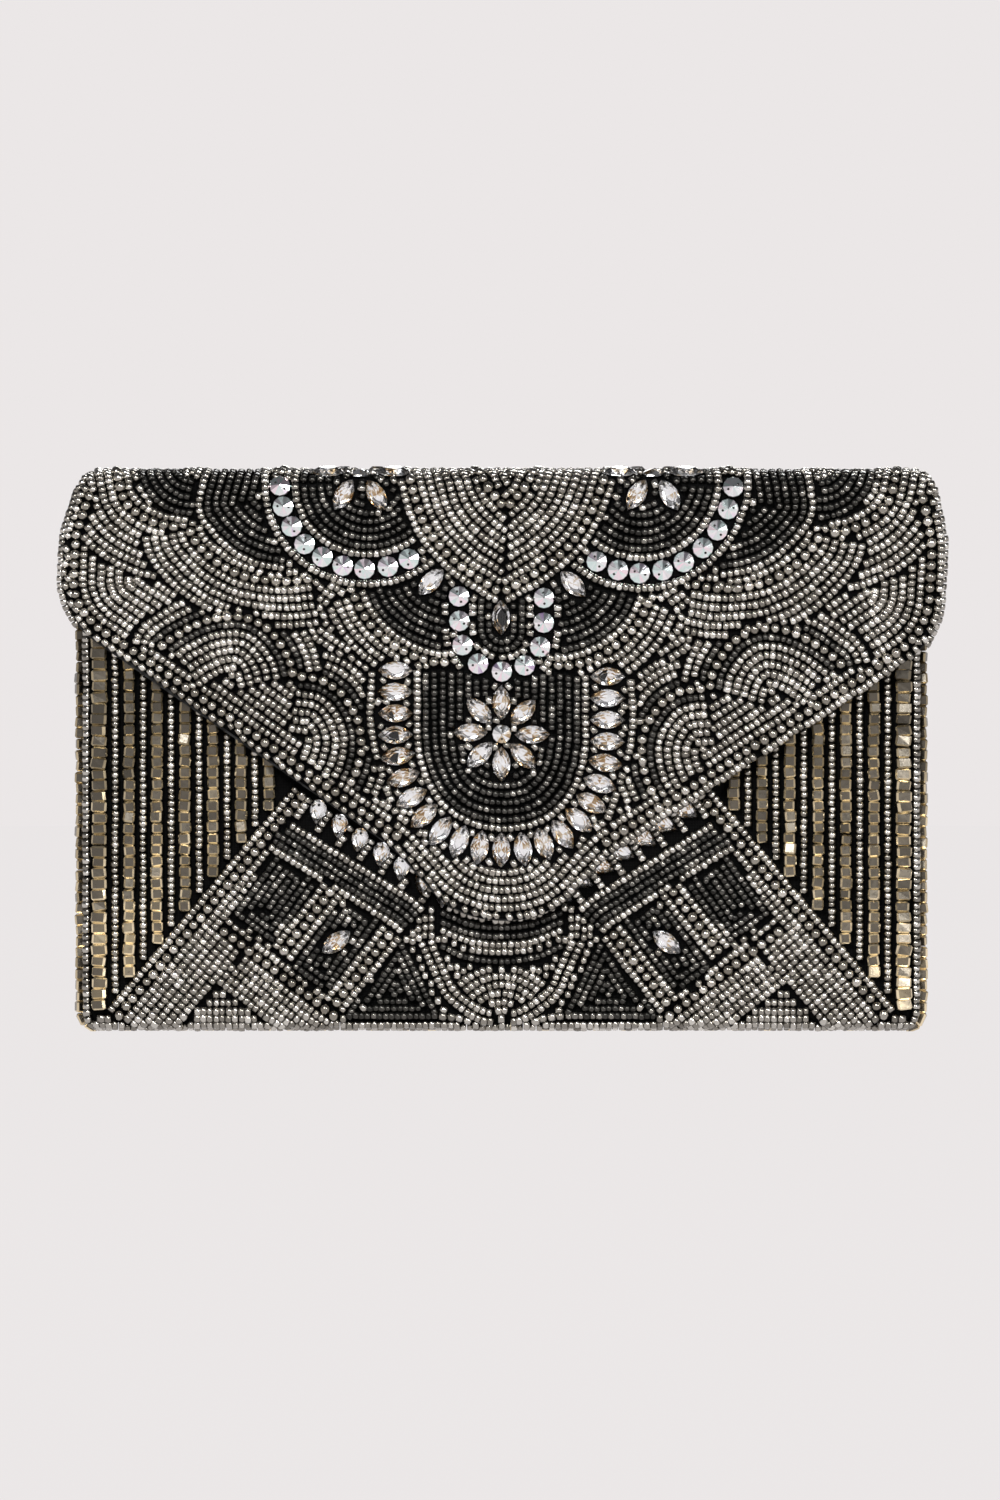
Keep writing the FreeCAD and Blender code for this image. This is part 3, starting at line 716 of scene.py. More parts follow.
fan = smooth([(41.7, 122.7), (38.8, 116.9), (34.7, 112.2), (29.9, 108.5), (24.4, 105.7), (18.7, 104.1),
              (15.6, 104.2)])
dark_run = smooth([(82.5, TOP), (82.5, 160), (84.5, 149), (82, 143.8), (75.3, 137.3), (68.3, 134),
                   (62.2, 132.9)])
g.rows(v_line, ["round"], both=False)
g.rows(small_v, ["round"], both=False)
for line in (wave_1, wave_2, lobe_1, lobe_2, fan):
    g.rows(line, ["round"])
print("round beads", len(g.all("round")))

# %% The V, the swags and the top corners
swag = (38.7, 156)
g.rows(v_line, ["silver"] * 14, (0, 160), start=2.6, both=False)
g.rows(v_line, ["silver"], (0, 100), start=2.6, both=False)
g.rows(ring(*swag, 21.2), ["silver"])
for i in range(8):
    g.rows(ring(*swag, 18.8 - 2.35 * i), ["dark"])
g.rows(ring(*swag, 29.8), ["silver"])
g.rows(ring(*swag, 25.5, 0, 360), ["round"])
g.rows(dark_run, ["dark"] * 7, swag, step=2.35)
g.rows(dark_run, ["silver"], (110, 120), start=2.4)
g.rows(wave_1, ["silver"], (89, 161), start=2.6)
for i in range(5):
    g.rows(ring(89, 161, 14.6 - 2.35 * i), ["dark"])
g.rows(wave_2, ["silver"] * 5, (70, 100), start=2.6)
g.rows(wave_2, ["silver"] * 2, (70, 150), start=2.6)
g.rows(wave_1, ["silver"] * 6, (130, 130), start=2.6)
print("silver", len(g.all("silver")), "dark", len(g.all("dark")))

# %% The two U shapes
def u_line(half, turn, low, top, power=2.25):
    """A U: upright legs and a super-ellipse through the low point."""
    a = np.linspace(0, np.pi, 90)
    x = -np.sign(np.cos(a)) * np.abs(np.cos(a)) ** (2 / power) * half
    t = turn - (turn - low) * np.sin(a) ** (2 / power)
    return straight(np.concatenate([[[-half, top]], np.stack([x, t], 1), [[half, top]]]))


g.rows(u_line(23.8, 86, 57.7, 101), ["silver"] + ["dark"] * 9, (0, 86), step=2.4, both=False)
g.rows(joined([(36.6, 101), (37.2, 89.3), (36.2, 80.5), (34.2, 73.5), (32.3, 67.4), (28, 57),
               (23.1, 51.2), (15.3, 46),
               (7, 43.6), (0, 43.3)][::-1]), ["silver"], both=False)
g.rows(straight([(-25, 102.4), (25, 102.4)]), ["silver"], both=False)
g.rows(u_line(8.1, 114, 105.9, 124, 2), ["silver", "dark", "dark"], (0, 118), step=2.3, both=False)
g.rows(u_line(16.0, 114, 98.0, 124, 2), ["silver"], both=False)
print("dark", len(g.all("dark")))

# %% Lobes and fans
for line, inner in ((lobe_1, (78, 98)), (lobe_2, (57, 80))):
    g.rows(line, ["dark", "silver"], inner, start=2.45, step=2.4)
for line, outer in ((lobe_1, (80, 130)), (lobe_2, (35, 98))):
    g.rows(line, ["dark", "silver", "silver"], outer, start=2.45, step=2.45)
for line, inner in ((lobe_1, (78, 98)), (lobe_2, (57, 80))):
    g.rows(line, ["silver"] * 4, inner, start=7.4)
g.rows(fan, ["silver"] + ["dark"] * 8, (20, 127), start=2.5, step=2.35)
g.rows(fan, ["silver"] * 3, (45, 95), start=2.6)

print("silver", len(g.all("silver")), "dark", len(g.all("dark")))

# %% [markdown]
# ## Filling the ground
# What is left between the outlines is filled with silver strands that follow the flap's edge, and
# then with short runs and single beads in the last gaps, which a sewer closes one stitch at a time.

# %% Fill the flap
for i in range(22):
    for run in side_runs:
        for moved in shifted(run, 6.4 + 2.55 * i, np.array([0, 110.0])):
            g.lay(moved, "silver", share=0.72)
            g.lay(moved[2:], "silver", share=0.72)


def close_gaps(ground, x_span, t_span, angles=(0.63, -0.63, 0.0, 1.2, -1.2, 1.57), share=0.70, step=0.6):
    """Single silver beads wherever a whole bead still fits, tried in a few directions."""
    added = 0
    for angle in angles:
        direction = np.array([np.cos(angle), np.sin(angle)])
        across = np.array([-direction[1], direction[0]])
        middle = np.array([sum(x_span) / 2, sum(t_span) / 2])
        reach = np.hypot(x_span[1] - x_span[0], t_span[1] - t_span[0]) / 2
        for offset in np.arange(-reach, reach, step):
            start = middle + across * offset
            for phase in (0.0, 0.9):
                line = np.stack([start + direction * (phase - reach), start + direction * (reach + phase)])
                added += ground.lay(evenly(line, 0.9), "silver", share=share)
    return added


print("gap beads", close_gaps(g, (-127, 127), (30, T3 + BAND)))
print({kind: len(g.all(kind)) for kind in KINDS})

# %% [markdown]
# ## The front of the pouch
# Below the flap the ground is beaded inside two diagonals that run down to the corners, with boxes
# of dark strands between the two.  Outside the diagonals are upright columns of square beads with a
# silver strand between each two, and black cloth showing between them.

# %% The ground of the front
DIAGONAL = (108.5, 1.1965)
FIELD_EDGE = 6.2
DARK_PITCH = 2.08                    # from one dark strand of a box to the next
BOX_TURN = np.radians(-54)
HALF_PEAR_PITCH = 3.57
FAN_MIDDLE = np.array([30.0, 11.6])


def diagonal(x):
    """Height of the round line that bounds the beaded field."""
    return bottom_z + (DIAGONAL[0] - np.abs(x)) * DIAGONAL[1]


def on_front_field(x, t):
    """The beaded field: under the diagonals, and under the flap's edge plus a hidden strip."""
    under_edge = BEND_Z + (np.abs(x) - BEND_X) * EDGE_RISE + 12
    return t < np.minimum(diagonal(x) + FIELD_EDGE, np.maximum(under_edge, 44))


def on_front_ground(x, t):
    """The field as far as the sides allow: a little wider on the underside than on the face."""
    return on_front_field(x, t) & (np.abs(x) < np.where(t < 5.0, 119.5, 113.5))


pouch_ground = Ground((-120, 120), (-4.0, 100), on_front_ground)
for node in ("pear_crystals", "front_marquises"):
    for foot, long, across, out in stones[node]:
        kind = STONE_NODES[node]
        pouch_ground.cover(foot[0], foot[2], np.arctan2(long[2], long[0]), under_stone(kind, 0.1), 6.5)
p = pouch_ground

# %% Bars, boxes and fans of the front
long_bar, low_bar = straight([(108.5, 4.7), (56.6, 66.9)]), straight([(79.7, 29), (46.6, 3.7)])
p.rows(long_bar, ["round"])
p.rows(low_bar, ["round"])
bar_1, bar_2 = straight([(48.3, 39.8), (62, 22.5)]), straight([(31.4, 27.9), (47.4, 7.5)])
for bar in (bar_1, bar_2):
    p.rows(bar, ["round"])
    for side in ((0, 0), (110, 60)):
        p.rows(bar, ["silver"], side, start=2.6)
p.rows(long_bar, ["silver"], (110, 60), start=2.65)
edge_row = straight([(63, 60.5), (59.6, 58.4), (25.6, 37.3), (22.4, 34.2)])
p.rows(edge_row, ["silver", "dark", "dark", "dark", "silver"], (60, 20), step=2.1)
pears = sorted([f[0] for f in stones["pear_crystals"] if f[0][0] > 0], key=lambda f: f[0])
along = np.array([1, EDGE_RISE]) / np.hypot(1, EDGE_RISE)
for foot in pears:
    gap = foot[[0, 2]] + along * HALF_PEAR_PITCH
    down = np.array([along[1], -along[0]])
    p.rows(straight([gap + down * 4.2, gap - down * 1.4], 0.2), ["silver"], share=0.5, need=0.6)
high, wide = p.free.shape
gx, gt = np.meshgrid(p.low[0] + np.arange(wide) * CELL, p.low[1] + np.arange(high) * CELL)
bare = gt > np.where(np.abs(gx) > 25.6, 37.3 + (np.abs(gx) - 25.6) * 0.62, 35.0) + 0.9
p.free &= ~(bare & (np.abs(gx) < 64))
for x, t, half_long, half_wide in ((63.5, 38.6, 11.0, 6.3), (47.0, 24.8, 12.0, 5.3)):
    for i in range(int(half_wide / DARK_PITCH) + 1):
        half_long, half_wide = half_long - DARK_PITCH * (i > 0), max(half_wide - DARK_PITCH * (i > 0), 0.02)
        a = np.array([[-1, -1], [1, -1], [1, 1], [-1, 1], [-1, -1]]) * [half_long, half_wide]
        c, s = np.cos(BOX_TURN), np.sin(BOX_TURN)
        box = np.stack([x + a[:, 0] * c - a[:, 1] * s, t + a[:, 0] * s + a[:, 1] * c], 1)
        p.rows(straight(box), ["dark"])
band = smooth([(22.5, 24.6), (19.4, 17.8), (15.1, 9.6), (6.1, 3.4), (0.0, 2.6)])
p.rows(band[:-8], ["silver", "silver"], (0, 30))
for i in range(4):
    corner = np.array([[29, 25.8], [43.5, 4.4], [18.5, 4.4], [29, 25.8]])
    p.rows(straight(FAN_MIDDLE + (corner - FAN_MIDDLE) * (1 - 0.28 * i)), ["dark"])
for t, kind in ((29.4, "dark"), (26.9, "dark"), (24.6, "silver"), (22.4, "silver"), (19.8, "dark")):
    p.rows(joined([(17, t + 4.2), (9, t + 1.0), (0, t)][::-1]), [kind], both=False)
p.rows(ring(0, 1.0, 17.0, 10, 170), ["silver"] * 7, (0, 1), step=2.4, both=False)
p.rows(straight([(108.5, 4.7), (62.7, 59.6)]), ["silver"] * 6, (60, 10), start=2.65, step=2.3)
p.rows(low_bar, ["silver"] * 5, (90, 3), start=2.65, step=2.3)
p.rows(low_bar, ["silver"] * 3, (50, 30), start=2.6, step=2.3)
for i in range(5):
    p.rows(straight([(119.5, 3.6 - 2.3 * i), (-119.5, 3.6 - 2.3 * i)]), ["silver"], both=False)
print("gap beads", close_gaps(p, (-119, 119), (-4, 90), angles=(0.0, 0.62, -0.62)))
print({kind: len(p.all(kind)) for kind in KINDS})

# %% The striped sides
stripe_start = 66.0
COLUMNS = 23
pitch = (half_round - stripe_start) / (COLUMNS - 0.5)


def column(run, kind):
    """Beads up one column, from the ground's edge to under the flap, as (run, height, angle)."""
    step = KINDS[kind][1]
    front = run < side_flat + 2
    low = max(5.0, diagonal(run) + FIELD_EDGE + 0.6) if front else -1.2
    edge = BEND_Z + (run - BEND_X) * EDGE_RISE
    high = min(mouth_z - 4, edge + 12) if front else mouth_z - 4
    if run > half_round - side_flat - 1:
        high = crease_z - BAND - 1.5
    t = np.arange(low + step / 2, high, step)
    return np.stack([np.full(len(t), run), t, np.full(len(t), np.pi / 2)], 1)


for side in (1, -1):
    for i in range(COLUMNS):
        for first, kind in ((0.0, "cube"), (0.5, "silver")):
            run = stripe_start + (i + first) * pitch
            if run < half_round - KINDS[kind][0] / 2:
                beads = column(run, kind)
                beads[:, 0] *= side
                p.beads[kind].append(beads)
print("square beads", len(p.all("cube")))

# %% [markdown]
# ## Bead shapes
# A seed bead is a short barrel with a hole along the strand; a round metal bead is a small ball; a
# square bead is a cube with its edges rounded off by heat.  Each is repeated hundreds of times, so
# each keeps to a few dozen faces and leaves its roundness to smooth shading.

# %% Bead patterns


def barrel(width, length, sides=8):
    """A profile from hole to waist and back, turned about the strand a little squarer than a circle."""
    r = np.array([0.34, 0.90, 1.0, 0.90, 0.34]) * width / 2
    a = np.array([-0.40, -0.46, 0.0, 0.46, 0.40]) * length
    turn = np.arange(sides) / sides * 2 * np.pi
    c, d = (np.sign(v) * np.abs(v) ** 0.82 for v in (np.cos(turn), np.sin(turn)))
    points = np.stack([np.repeat(a[:, None], sides, 1), r[:, None] * c, r[:, None] * d], -1)
    i, j = np.meshgrid(np.arange(5), np.arange(sides), indexing="ij")
    k, m = (i + 1) % 5, (j + 1) % sides
    faces = np.stack([i * sides + j, k * sides + j, k * sides + m, i * sides + m], -1).reshape(-1, 4)
    return points.reshape(-1, 3), faces


def ball(width, length, rings=5, sides=9):
    """Rings of a sphere between two small flat poles at the hole's ends."""
    lat = np.linspace(-1.25, 1.25, rings)
    turn = np.arange(sides) / sides * 2 * np.pi
    points = np.stack([np.repeat(np.sin(lat)[:, None] * length / 2, sides, 1),
                       np.cos(lat)[:, None] * np.cos(turn) * width / 2,
                       np.cos(lat)[:, None] * np.sin(turn) * width / 2], -1).reshape(-1, 3)
    i, j = np.meshgrid(np.arange(rings - 1), np.arange(sides), indexing="ij")
    m = (j + 1) % sides
    quads = np.stack([i * sides + j, (i + 1) * sides + j, (i + 1) * sides + m, i * sides + m],
                     -1).reshape(-1, 4)
    ends = np.array([[-length / 2 * 0.93, 0, 0], [length / 2 * 0.93, 0, 0]])
    n, j = len(points), np.arange(sides)
    low_cap = np.stack([np.full(sides, n), j, (j + 1) % sides], 1)
    top = (rings - 1) * sides
    high_cap = np.stack([np.full(sides, n + 1), top + (j + 1) % sides, top + j], 1)
    return np.concatenate([points, ends]), quads, np.concatenate([low_cap, high_cap])


def soft_cube(size, inset=0.15):
    """Six faces drawn in from the corners, joined by twelve edge strips and eight corner triangles."""
    h = size / 2
    near = h * (1 - 2 * inset)
    points, quads, corners = [], [], {}
    for axis in range(3):
        for s in (-1, 1):
            square = [(-1, -1), (1, -1), (1, 1), (-1, 1)]
            if s < 0:
                square = square[::-1]
            index = []
            for u, v in square:
                q = np.zeros(3)
                q[axis], q[(axis + 1) % 3], q[(axis + 2) % 3] = s * h, u * near, v * near
                corners[(axis,) + tuple(np.sign(q).astype(int))] = len(points)
                index.append(len(points))
                points.append(q)
            quads.append(index)
    signs = [(a, b, c) for a in (-1, 1) for b in (-1, 1) for c in (-1, 1)]
    for axis in range(3):
        u, v = (axis + 1) % 3, (axis + 2) % 3
        for su in (-1, 1):
            for sv in (-1, 1):
                ends = []
                for s in (-1, 1):
                    key = [0, 0, 0]
                    key[axis], key[u], key[v] = s, su, sv
                    ends.append(tuple(key))
                loop = [corners[(u,) + ends[0]], corners[(v,) + ends[0]], corners[(v,) + ends[1]],
                        corners[(u,) + ends[1]]]
                quads.append(loop if su * sv < 0 else loop[::-1])
    tris = [[corners[(0,) + k], corners[(1,) + k], corners[(2,) + k]] if k[0] * k[1] * k[2] > 0 else
            [corners[(0,) + k], corners[(2,) + k], corners[(1,) + k]] for k in signs]
    points, quads, tris = np.array(points), np.array(quads), np.array(tris)
    return points, outward(points, quads), outward(points, tris)


def outward(points, faces):
    """Turn round each face whose normal points towards the middle of a convex shape."""
    a, b, c = (points[faces[:, k]] for k in range(3))
    wrong = (np.cross(b - a, c - a) * points[faces].mean(1)).sum(1) < 0
    faces[wrong] = faces[wrong][:, ::-1]
    return faces


seed_shape = barrel(SEED * 1.09, SEED_LONG)
dark_shape = barrel(2.06, 1.80)
ball_shape = ball(3.1, 3.0)
ball_shape = (ball_shape[0], outward(ball_shape[0], ball_shape[1]), outward(ball_shape[0], ball_shape[2]))
cube_shape = soft_cube(3.15)
SHAPES = {"silver": seed_shape, "dark": dark_shape, "round": ball_shape, "cube": cube_shape}
print("faces per bead", {k: sum(len(f) for f in v[1:]) for k, v in SHAPES.items()})

# %% [markdown]
# ## Metal and glass for the beads
# Silver-lined seeds, antique metal balls and pale gold cubes differ in colour from bead to bead.
# Each bead carries a random number in its vertices, and a colour ramp turns it into that bead's own
# shade, which a texture in space could not do because it would change part way across a bead.

# %% Bead finishes


def surface_noise(tree, shader, scale, strength, distance=0.0001, detail=3.0):
    """Fine unevenness: noise on Object coordinates as a bump."""
    noise = cloudy(tree, scale, detail)
    bump = add_node(tree, "Bump", Strength=strength, Distance=distance)
    tree.links.new(noise, bump.inputs["Height"])
    tree.links.new(bump.outputs[0], shader.inputs["Normal"])
    return noise


def bead_finish(name, stops, roughness, metallic, bump, **extra):
    """Metal or lined glass whose shade comes from each bead's own number, with patchy tarnish and a painted
    highlight on faces whose facet number is 1.
    """
    material, tree, shader = principled(name, Metallic=metallic, Roughness=roughness, **extra)
    noise = surface_noise(tree, shader, 900, bump)
    tone = add_node(tree, "Attribute", attribute_name="tone").outputs["Fac"]
    # painted highlight: the facet number, 1 on the square beads' rounded edges, moves a face half a ramp
    # towards the light end
    edge = add_node(tree, "Attribute", attribute_name="facet").outputs["Fac"]
    own = sums(tree, "ADD", sums(tree, "MULTIPLY_ADD", edge, 0.5, tone), -0.22)
    shade = sums(tree, "MULTIPLY_ADD", cloudy(tree, 55, 2), 0.45, own)
    tree.links.new(colour_ramp(tree, shade, stops), shader.inputs["Base Color"])
    rough = add_node(tree, "MapRange", To_Min=roughness - 0.08, To_Max=roughness + 0.12)
    tree.links.new(noise, rough.inputs["Value"])
    tree.links.new(rough.outputs[0], shader.inputs["Roughness"])
    return material


FINISH = {
    "silver": bead_finish("silver_seed_beads", [
        (0.0, (0.17, 0.158, 0.138)), (0.5, (0.35, 0.330, 0.297)),
        (1.0, (0.74, 0.715, 0.67))], 0.21, 1.0, 0.15),
    "dark": bead_finish("charcoal_seed_beads", [
        (0.0, (0.018, 0.0175, 0.016)), (0.6, (0.070, 0.067, 0.061)),
        (1.0, (0.30, 0.285, 0.26))], 0.15, 0.95, 0.1),
    "round": bead_finish("round_metal_beads", [
        (0.0, (0.19, 0.175, 0.15)), (0.6, (0.33, 0.31, 0.275)),
        (1.0, (0.66, 0.63, 0.58))], 0.16, 1.0, 0.1),
    # the lightest two stops are reached mostly by the painted highlight on the square beads' rounded edges
    "cube": bead_finish("square_metal_beads", [
        (0.0, (0.070, 0.063, 0.052)), (0.42, (0.15, 0.132, 0.105)),
        (0.68, (0.37, 0.305, 0.195)), (1.0, (0.92, 0.78, 0.54))], 0.27, 1.0, 0.3),
}
print("bead finishes", sorted(FINISH))

# %% Bend beads into place


def repeated(faces, count, stride):
    """The faces of one shape written out for many copies, each copy's points a stride further on."""
    base = np.arange(count)[:, None, None] * stride
    return [(f[None] + base).reshape(-1, f.shape[1]) for f in faces]


def bead_points(shape, beads, surface, height):
    """Every bead's points on its surface: turned on the flat map, jittered, then bent."""
    n = len(beads)
    size = 1 + rng.normal(0, 0.05, (n, 1)).clip(-0.1, 0.1)
    turn = beads[:, 2:3] + rng.normal(0, 0.07, (n, 1))
    roll = rng.normal(0, 0.05, (n, 1))
    a, b, c = (shape[:, k][None] * size for k in range(3))
    if len(shape) == 24:
        roll = rng.normal(0, 0.10, (n, 1))
        pitch = rng.normal(0, 0.08, (n, 1))
        a, c = a - c * pitch, c + a * pitch
    b, c = b - c * roll, c + b * roll
    x = beads[:, :1] + rng.normal(0, 0.07, (n, 1)) + a * np.cos(turn) - b * np.sin(turn)
    t = beads[:, 1:2] + rng.normal(0, 0.07, (n, 1)) + a * np.sin(turn) + b * np.cos(turn)
    lift = height + rng.normal(0, 0.07, (n, 1)).clip(-0.15, 0.15) + c
    return surface(x, t, lift)


def follow(piece, body):
    """Make a piece ride on its body; a piece across one of the two creases only has its transform baked and
    stays unparented.
    """
    if body == "front_crease":
        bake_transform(piece)
    elif body == "rear_crease":
        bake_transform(piece)
    else:
        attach(piece, body)


def string_beads(label, beads, kind, surface, body, height=None):
    """Build one or more pieces of beads of a kind, none with more than about 190,000 triangles."""
    shape, faces = SHAPES[kind][0], SHAPES[kind][1:]
    height = KINDS[kind][2] if height is None else height
    triangles = sum(len(f) * (f.shape[1] - 2) for f in faces)
    most = 190000 // triangles
    made = []
    for k in range(0, len(beads), most):
        part = beads[k:k + most]
        points = bead_points(shape, part, surface, height)
        tone = rng.beta(2.2, 2.2, len(part))
        edge = None
        if kind == "cube":
            tone = tone * 0.30 + 0.34 * (1 - part[:, 1] / 95)
            # painted highlight: each square bead's rounded edge strips and corners get facet 1, which its
            # finish turns lighter; the six flat faces get 0
            edge = np.concatenate([np.tile(np.repeat([0.0, 1.0], [6, 12]), len(part)),
                                   np.ones(8 * len(part))])
        blocks = repeated(faces, len(part), len(shape))
        name = label + ("_%d" % (k // most + 1) if len(beads) > most else "")
        piece = mesh_piece(name, points.reshape(-1, 3), blocks, FINISH[kind], kind != "cube",
                           tone=np.repeat(tone.clip(0, 1), len(shape)), facet=edge)
        piece["height"] = height
        follow(piece, body)
        made.append(piece)
    return made


ZONES = [("flap", -1e9, crease_z), ("front_crease", crease_z, T1), ("spine", T1, T2),
         ("rear_crease", T2, T3), ("bag", T3, 1e9)]
for kind in ("silver", "dark", "round"):
    beads = flap_ground.all(kind)
    for body, t0, t1 in ZONES:
        here = beads[(beads[:, 1] > t0) & (beads[:, 1] <= t1)]
        if len(here):
            label = {"bag": "back_band"}.get(body, body) + "_" + kind + "_beads"
            string_beads(label, here, kind, wrap, body)
for kind in ("silver", "dark", "round", "cube"):
    label = {"cube": "square_bead_columns"}.get(kind, "pouch_" + kind + "_beads")
    string_beads(label, pouch_ground.all(kind), kind, pouch, "bag")

# %% Beads sewn round the rim of the flap
rim_step = KINDS["silver"][1]
edge_line = evenly(outline, rim_step)
turns = np.arctan2(*np.gradient(edge_line, axis=0).T[::-1])
rim = np.column_stack([edge_line, turns])[edge_line[:, 1] > 112]
string_beads("flap_rim_beads", rim, "silver", wrap, "flap", height=-1.0)
for body, t0, t1 in ZONES[1:4]:
    t = np.arange(t0 + rim_step / 2, t1, rim_step)
    upright = np.full(len(t), np.pi / 2)
    ends = np.concatenate([np.column_stack([s * top_edge(t), t, upright]) for s in (1, -1)])
    string_beads(body + "_rim_beads", ends, "silver", wrap, body, height=0.1)
REPLACED = {
    "flap_silver_beads": ["flap_beadwork"], "front_crease_silver_beads": ["front_crease_beadwork"],
    "spine_silver_beads": ["spine_beadwork"], "rear_crease_silver_beads": ["rear_crease_beadwork"],
    "back_band_silver_beads": ["back_beadwork"],
    "pouch_silver_beads": ["front_beadwork", "left_seed_strands", "right_seed_strands", "back_seed_strands"],
    "square_bead_columns": ["left_cube_columns", "right_cube_columns", "back_cube_columns"],
}
for label, names in REPLACED.items():
    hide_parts(*names)
print("beads in all", sum(len(ground.all(k)) for ground in (flap_ground, pouch_ground) for k in KINDS))

# %% [markdown]
# ## Cut stones
# A sewn stone is clear glass with a foiled back, cut in rings of facets.  It is one closed surface
# made of rings of points, one of them turned by half a step, and the triangles between two rings
# become the facets.  The lower faces take the foil and the upper ones the clear glass.

# %% Stone finishes


def foil_finish(name, stops, scale):
    """Foil behind glass: a mirror whose tint changes in patches, partly the foil's own colour and partly a
    painted reflection of the room.
    """
    material, tree, shader = principled(name, Metallic=1.0, Roughness=0.12)
    facet = add_node(tree, "Attribute", attribute_name="facet").outputs["Fac"]
    # painted reflection in part: each facet's number and a cloudy noise pick the foil's tint
    tint = sums(tree, "MULTIPLY_ADD", facet, 0.5, cloudy(tree, scale, 1.5))
    tree.links.new(colour_ramp(tree, tint, stops), shader.inputs["Base Color"])
    surface_noise(tree, shader, 500, 0.2)
    return material


clear_foil = foil_finish("silver_foil", [(0.44, (0.36, 0.22, 0.09)), (0.58, (0.66, 0.55, 0.40)),
                                         (0.70, (0.93, 0.93, 0.94)), (1.0, (0.99, 0.99, 1.0))], 260)
pearl_foil = foil_finish("iridescent_foil", [
    (0.30, (0.42, 0.30, 0.52)), (0.46, (0.90, 0.80, 0.92)), (0.60, (0.95, 0.93, 0.95)),
    (0.80, (0.72, 0.86, 0.84)), (1.0, (0.96, 0.82, 0.88))], 190)
stone_glass, tree, shader = principled("clear_cut_glass", Roughness=0.03, IOR=1.54, Transmission_Weight=1.0)
tint = colour_ramp(tree, cloudy(tree, 120, 1), [(0.3, (0.95, 0.96, 0.97)), (0.7, (1.0, 1.0, 1.0))])
tree.links.new(tint, shader.inputs["Base Color"])
surface_noise(tree, shader, 700, 0.05)
print("stone finishes ready")

# %% Stone shapes


def stone_outline(kind, n):
    """n points round a unit stone: a circle, a pointed oval, or a pear with its point at +X."""
    a = np.arange(n) / n * 2 * np.pi
    length, width = STONE_SIZE[kind][0] / 2, STONE_SIZE[kind][1] / 2
    x, y = np.cos(a), np.sin(a)
    if kind == "marquise":
        r = (length ** 2 + width ** 2) / (2 * width)
        x = x * length
        y = np.sign(y) * (np.sqrt(np.maximum(r ** 2 - x ** 2, 0)) - (r - width))
    elif kind == "pear":
        x, y = x * length, y * width * (1 - 0.62 * ((x + 1) / 2) ** 2.2) * 1.06
    else:
        x, y = x * width, y * width
    return np.stack([x, y], 1)


def cut(kind):
    """Points, triangles, and which of the triangles are foil, of a stone standing on z = 0.

    A level is a ring's size, its height, and its turn in steps of 30 degrees.
    """
    n = 12
    levels = [(0.42, 0.1, 0), (0.96, 0.95, 0), (1.0, 1.2, 0), (0.80, 2.05, 0.5), (0.50, 2.85, 0)]
    if kind in ROUND_KINDS:
        levels = [(0.42, 0.1, 0), (0.97, 0.8, 0), (1.0, 1.0, 0), (0.93, 1.3, 0), (0.07, 2.3, 0)]
    full = stone_outline(kind, 2 * n)
    rings = []
    for scale, height, twist in levels:
        ring_points = full[int(2 * twist)::2] * scale
        rings.append(np.column_stack([ring_points, np.full(n, height)]))
    low = np.array([[0, 0, levels[0][1]]])
    high = np.array([[0, 0, levels[-1][1]]])
    points = np.concatenate(rings + [low, high])
    j = np.arange(n)
    m = (j + 1) % n
    tris, foil = [], []
    for k in range(4):
        a, b = k * n, (k + 1) * n
        if levels[k + 1][2] > levels[k][2]:
            pair = [np.stack([a + j, a + m, b + j], 1), np.stack([a + m, b + m, b + j], 1)]
        else:
            pair = [np.stack([a + j, a + m, b + m], 1), np.stack([a + j, b + m, b + j], 1)]
        tris += pair
        foil += [np.full(2 * n, k == 0 or (k == 3 and kind in ROUND_KINDS))]
    tris += [np.stack([m, j, np.full(n, 5 * n)], 1),
             np.stack([4 * n + j, 4 * n + m, np.full(n, 5 * n + 1)], 1)]
    foil += [np.full(n, True), np.full(n, False)]
    tris, foil = np.concatenate(tris), np.concatenate(foil)
    middle = points - [0, 0, 1.2]
    return points, outward(middle, tris), foil


def build_stones(node_name, kind, body):
    """All stones of one CAD group as one piece that stands for it."""
    shape, tris, foil = cut(kind)
    frames = stones[node_name]
    points, faces, facet = [], [], []
    for k, (foot, long, across, out) in enumerate(frames):
        tilt = rng.normal(0, 0.05, 2)
        tipped = out + long * tilt[0] + across * tilt[1]
        tipped /= np.linalg.norm(tipped)
        points.append(foot + shape[:, :1] * long + shape[:, 1:2] * across + shape[:, 2:] * tipped)
        faces.append(tris + k * len(shape))
        # each facet's random number picks its foil tint, which is partly a painted reflection
        wedge = rng.random(len(tris))
        if kind in ROUND_KINDS:
            wedge = wedge[np.arange(len(tris)) % 12]
        facet.append(wedge)
    finish = [stone_glass, pearl_foil if kind == "round" else clear_foil]
    piece = mesh_piece(node_name + "_glass", np.concatenate(points), np.concatenate(faces), finish, False,
                       facet=np.concatenate(facet), index=np.tile(foil, len(frames)).astype(int))
    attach(piece, body)
    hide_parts(node_name)


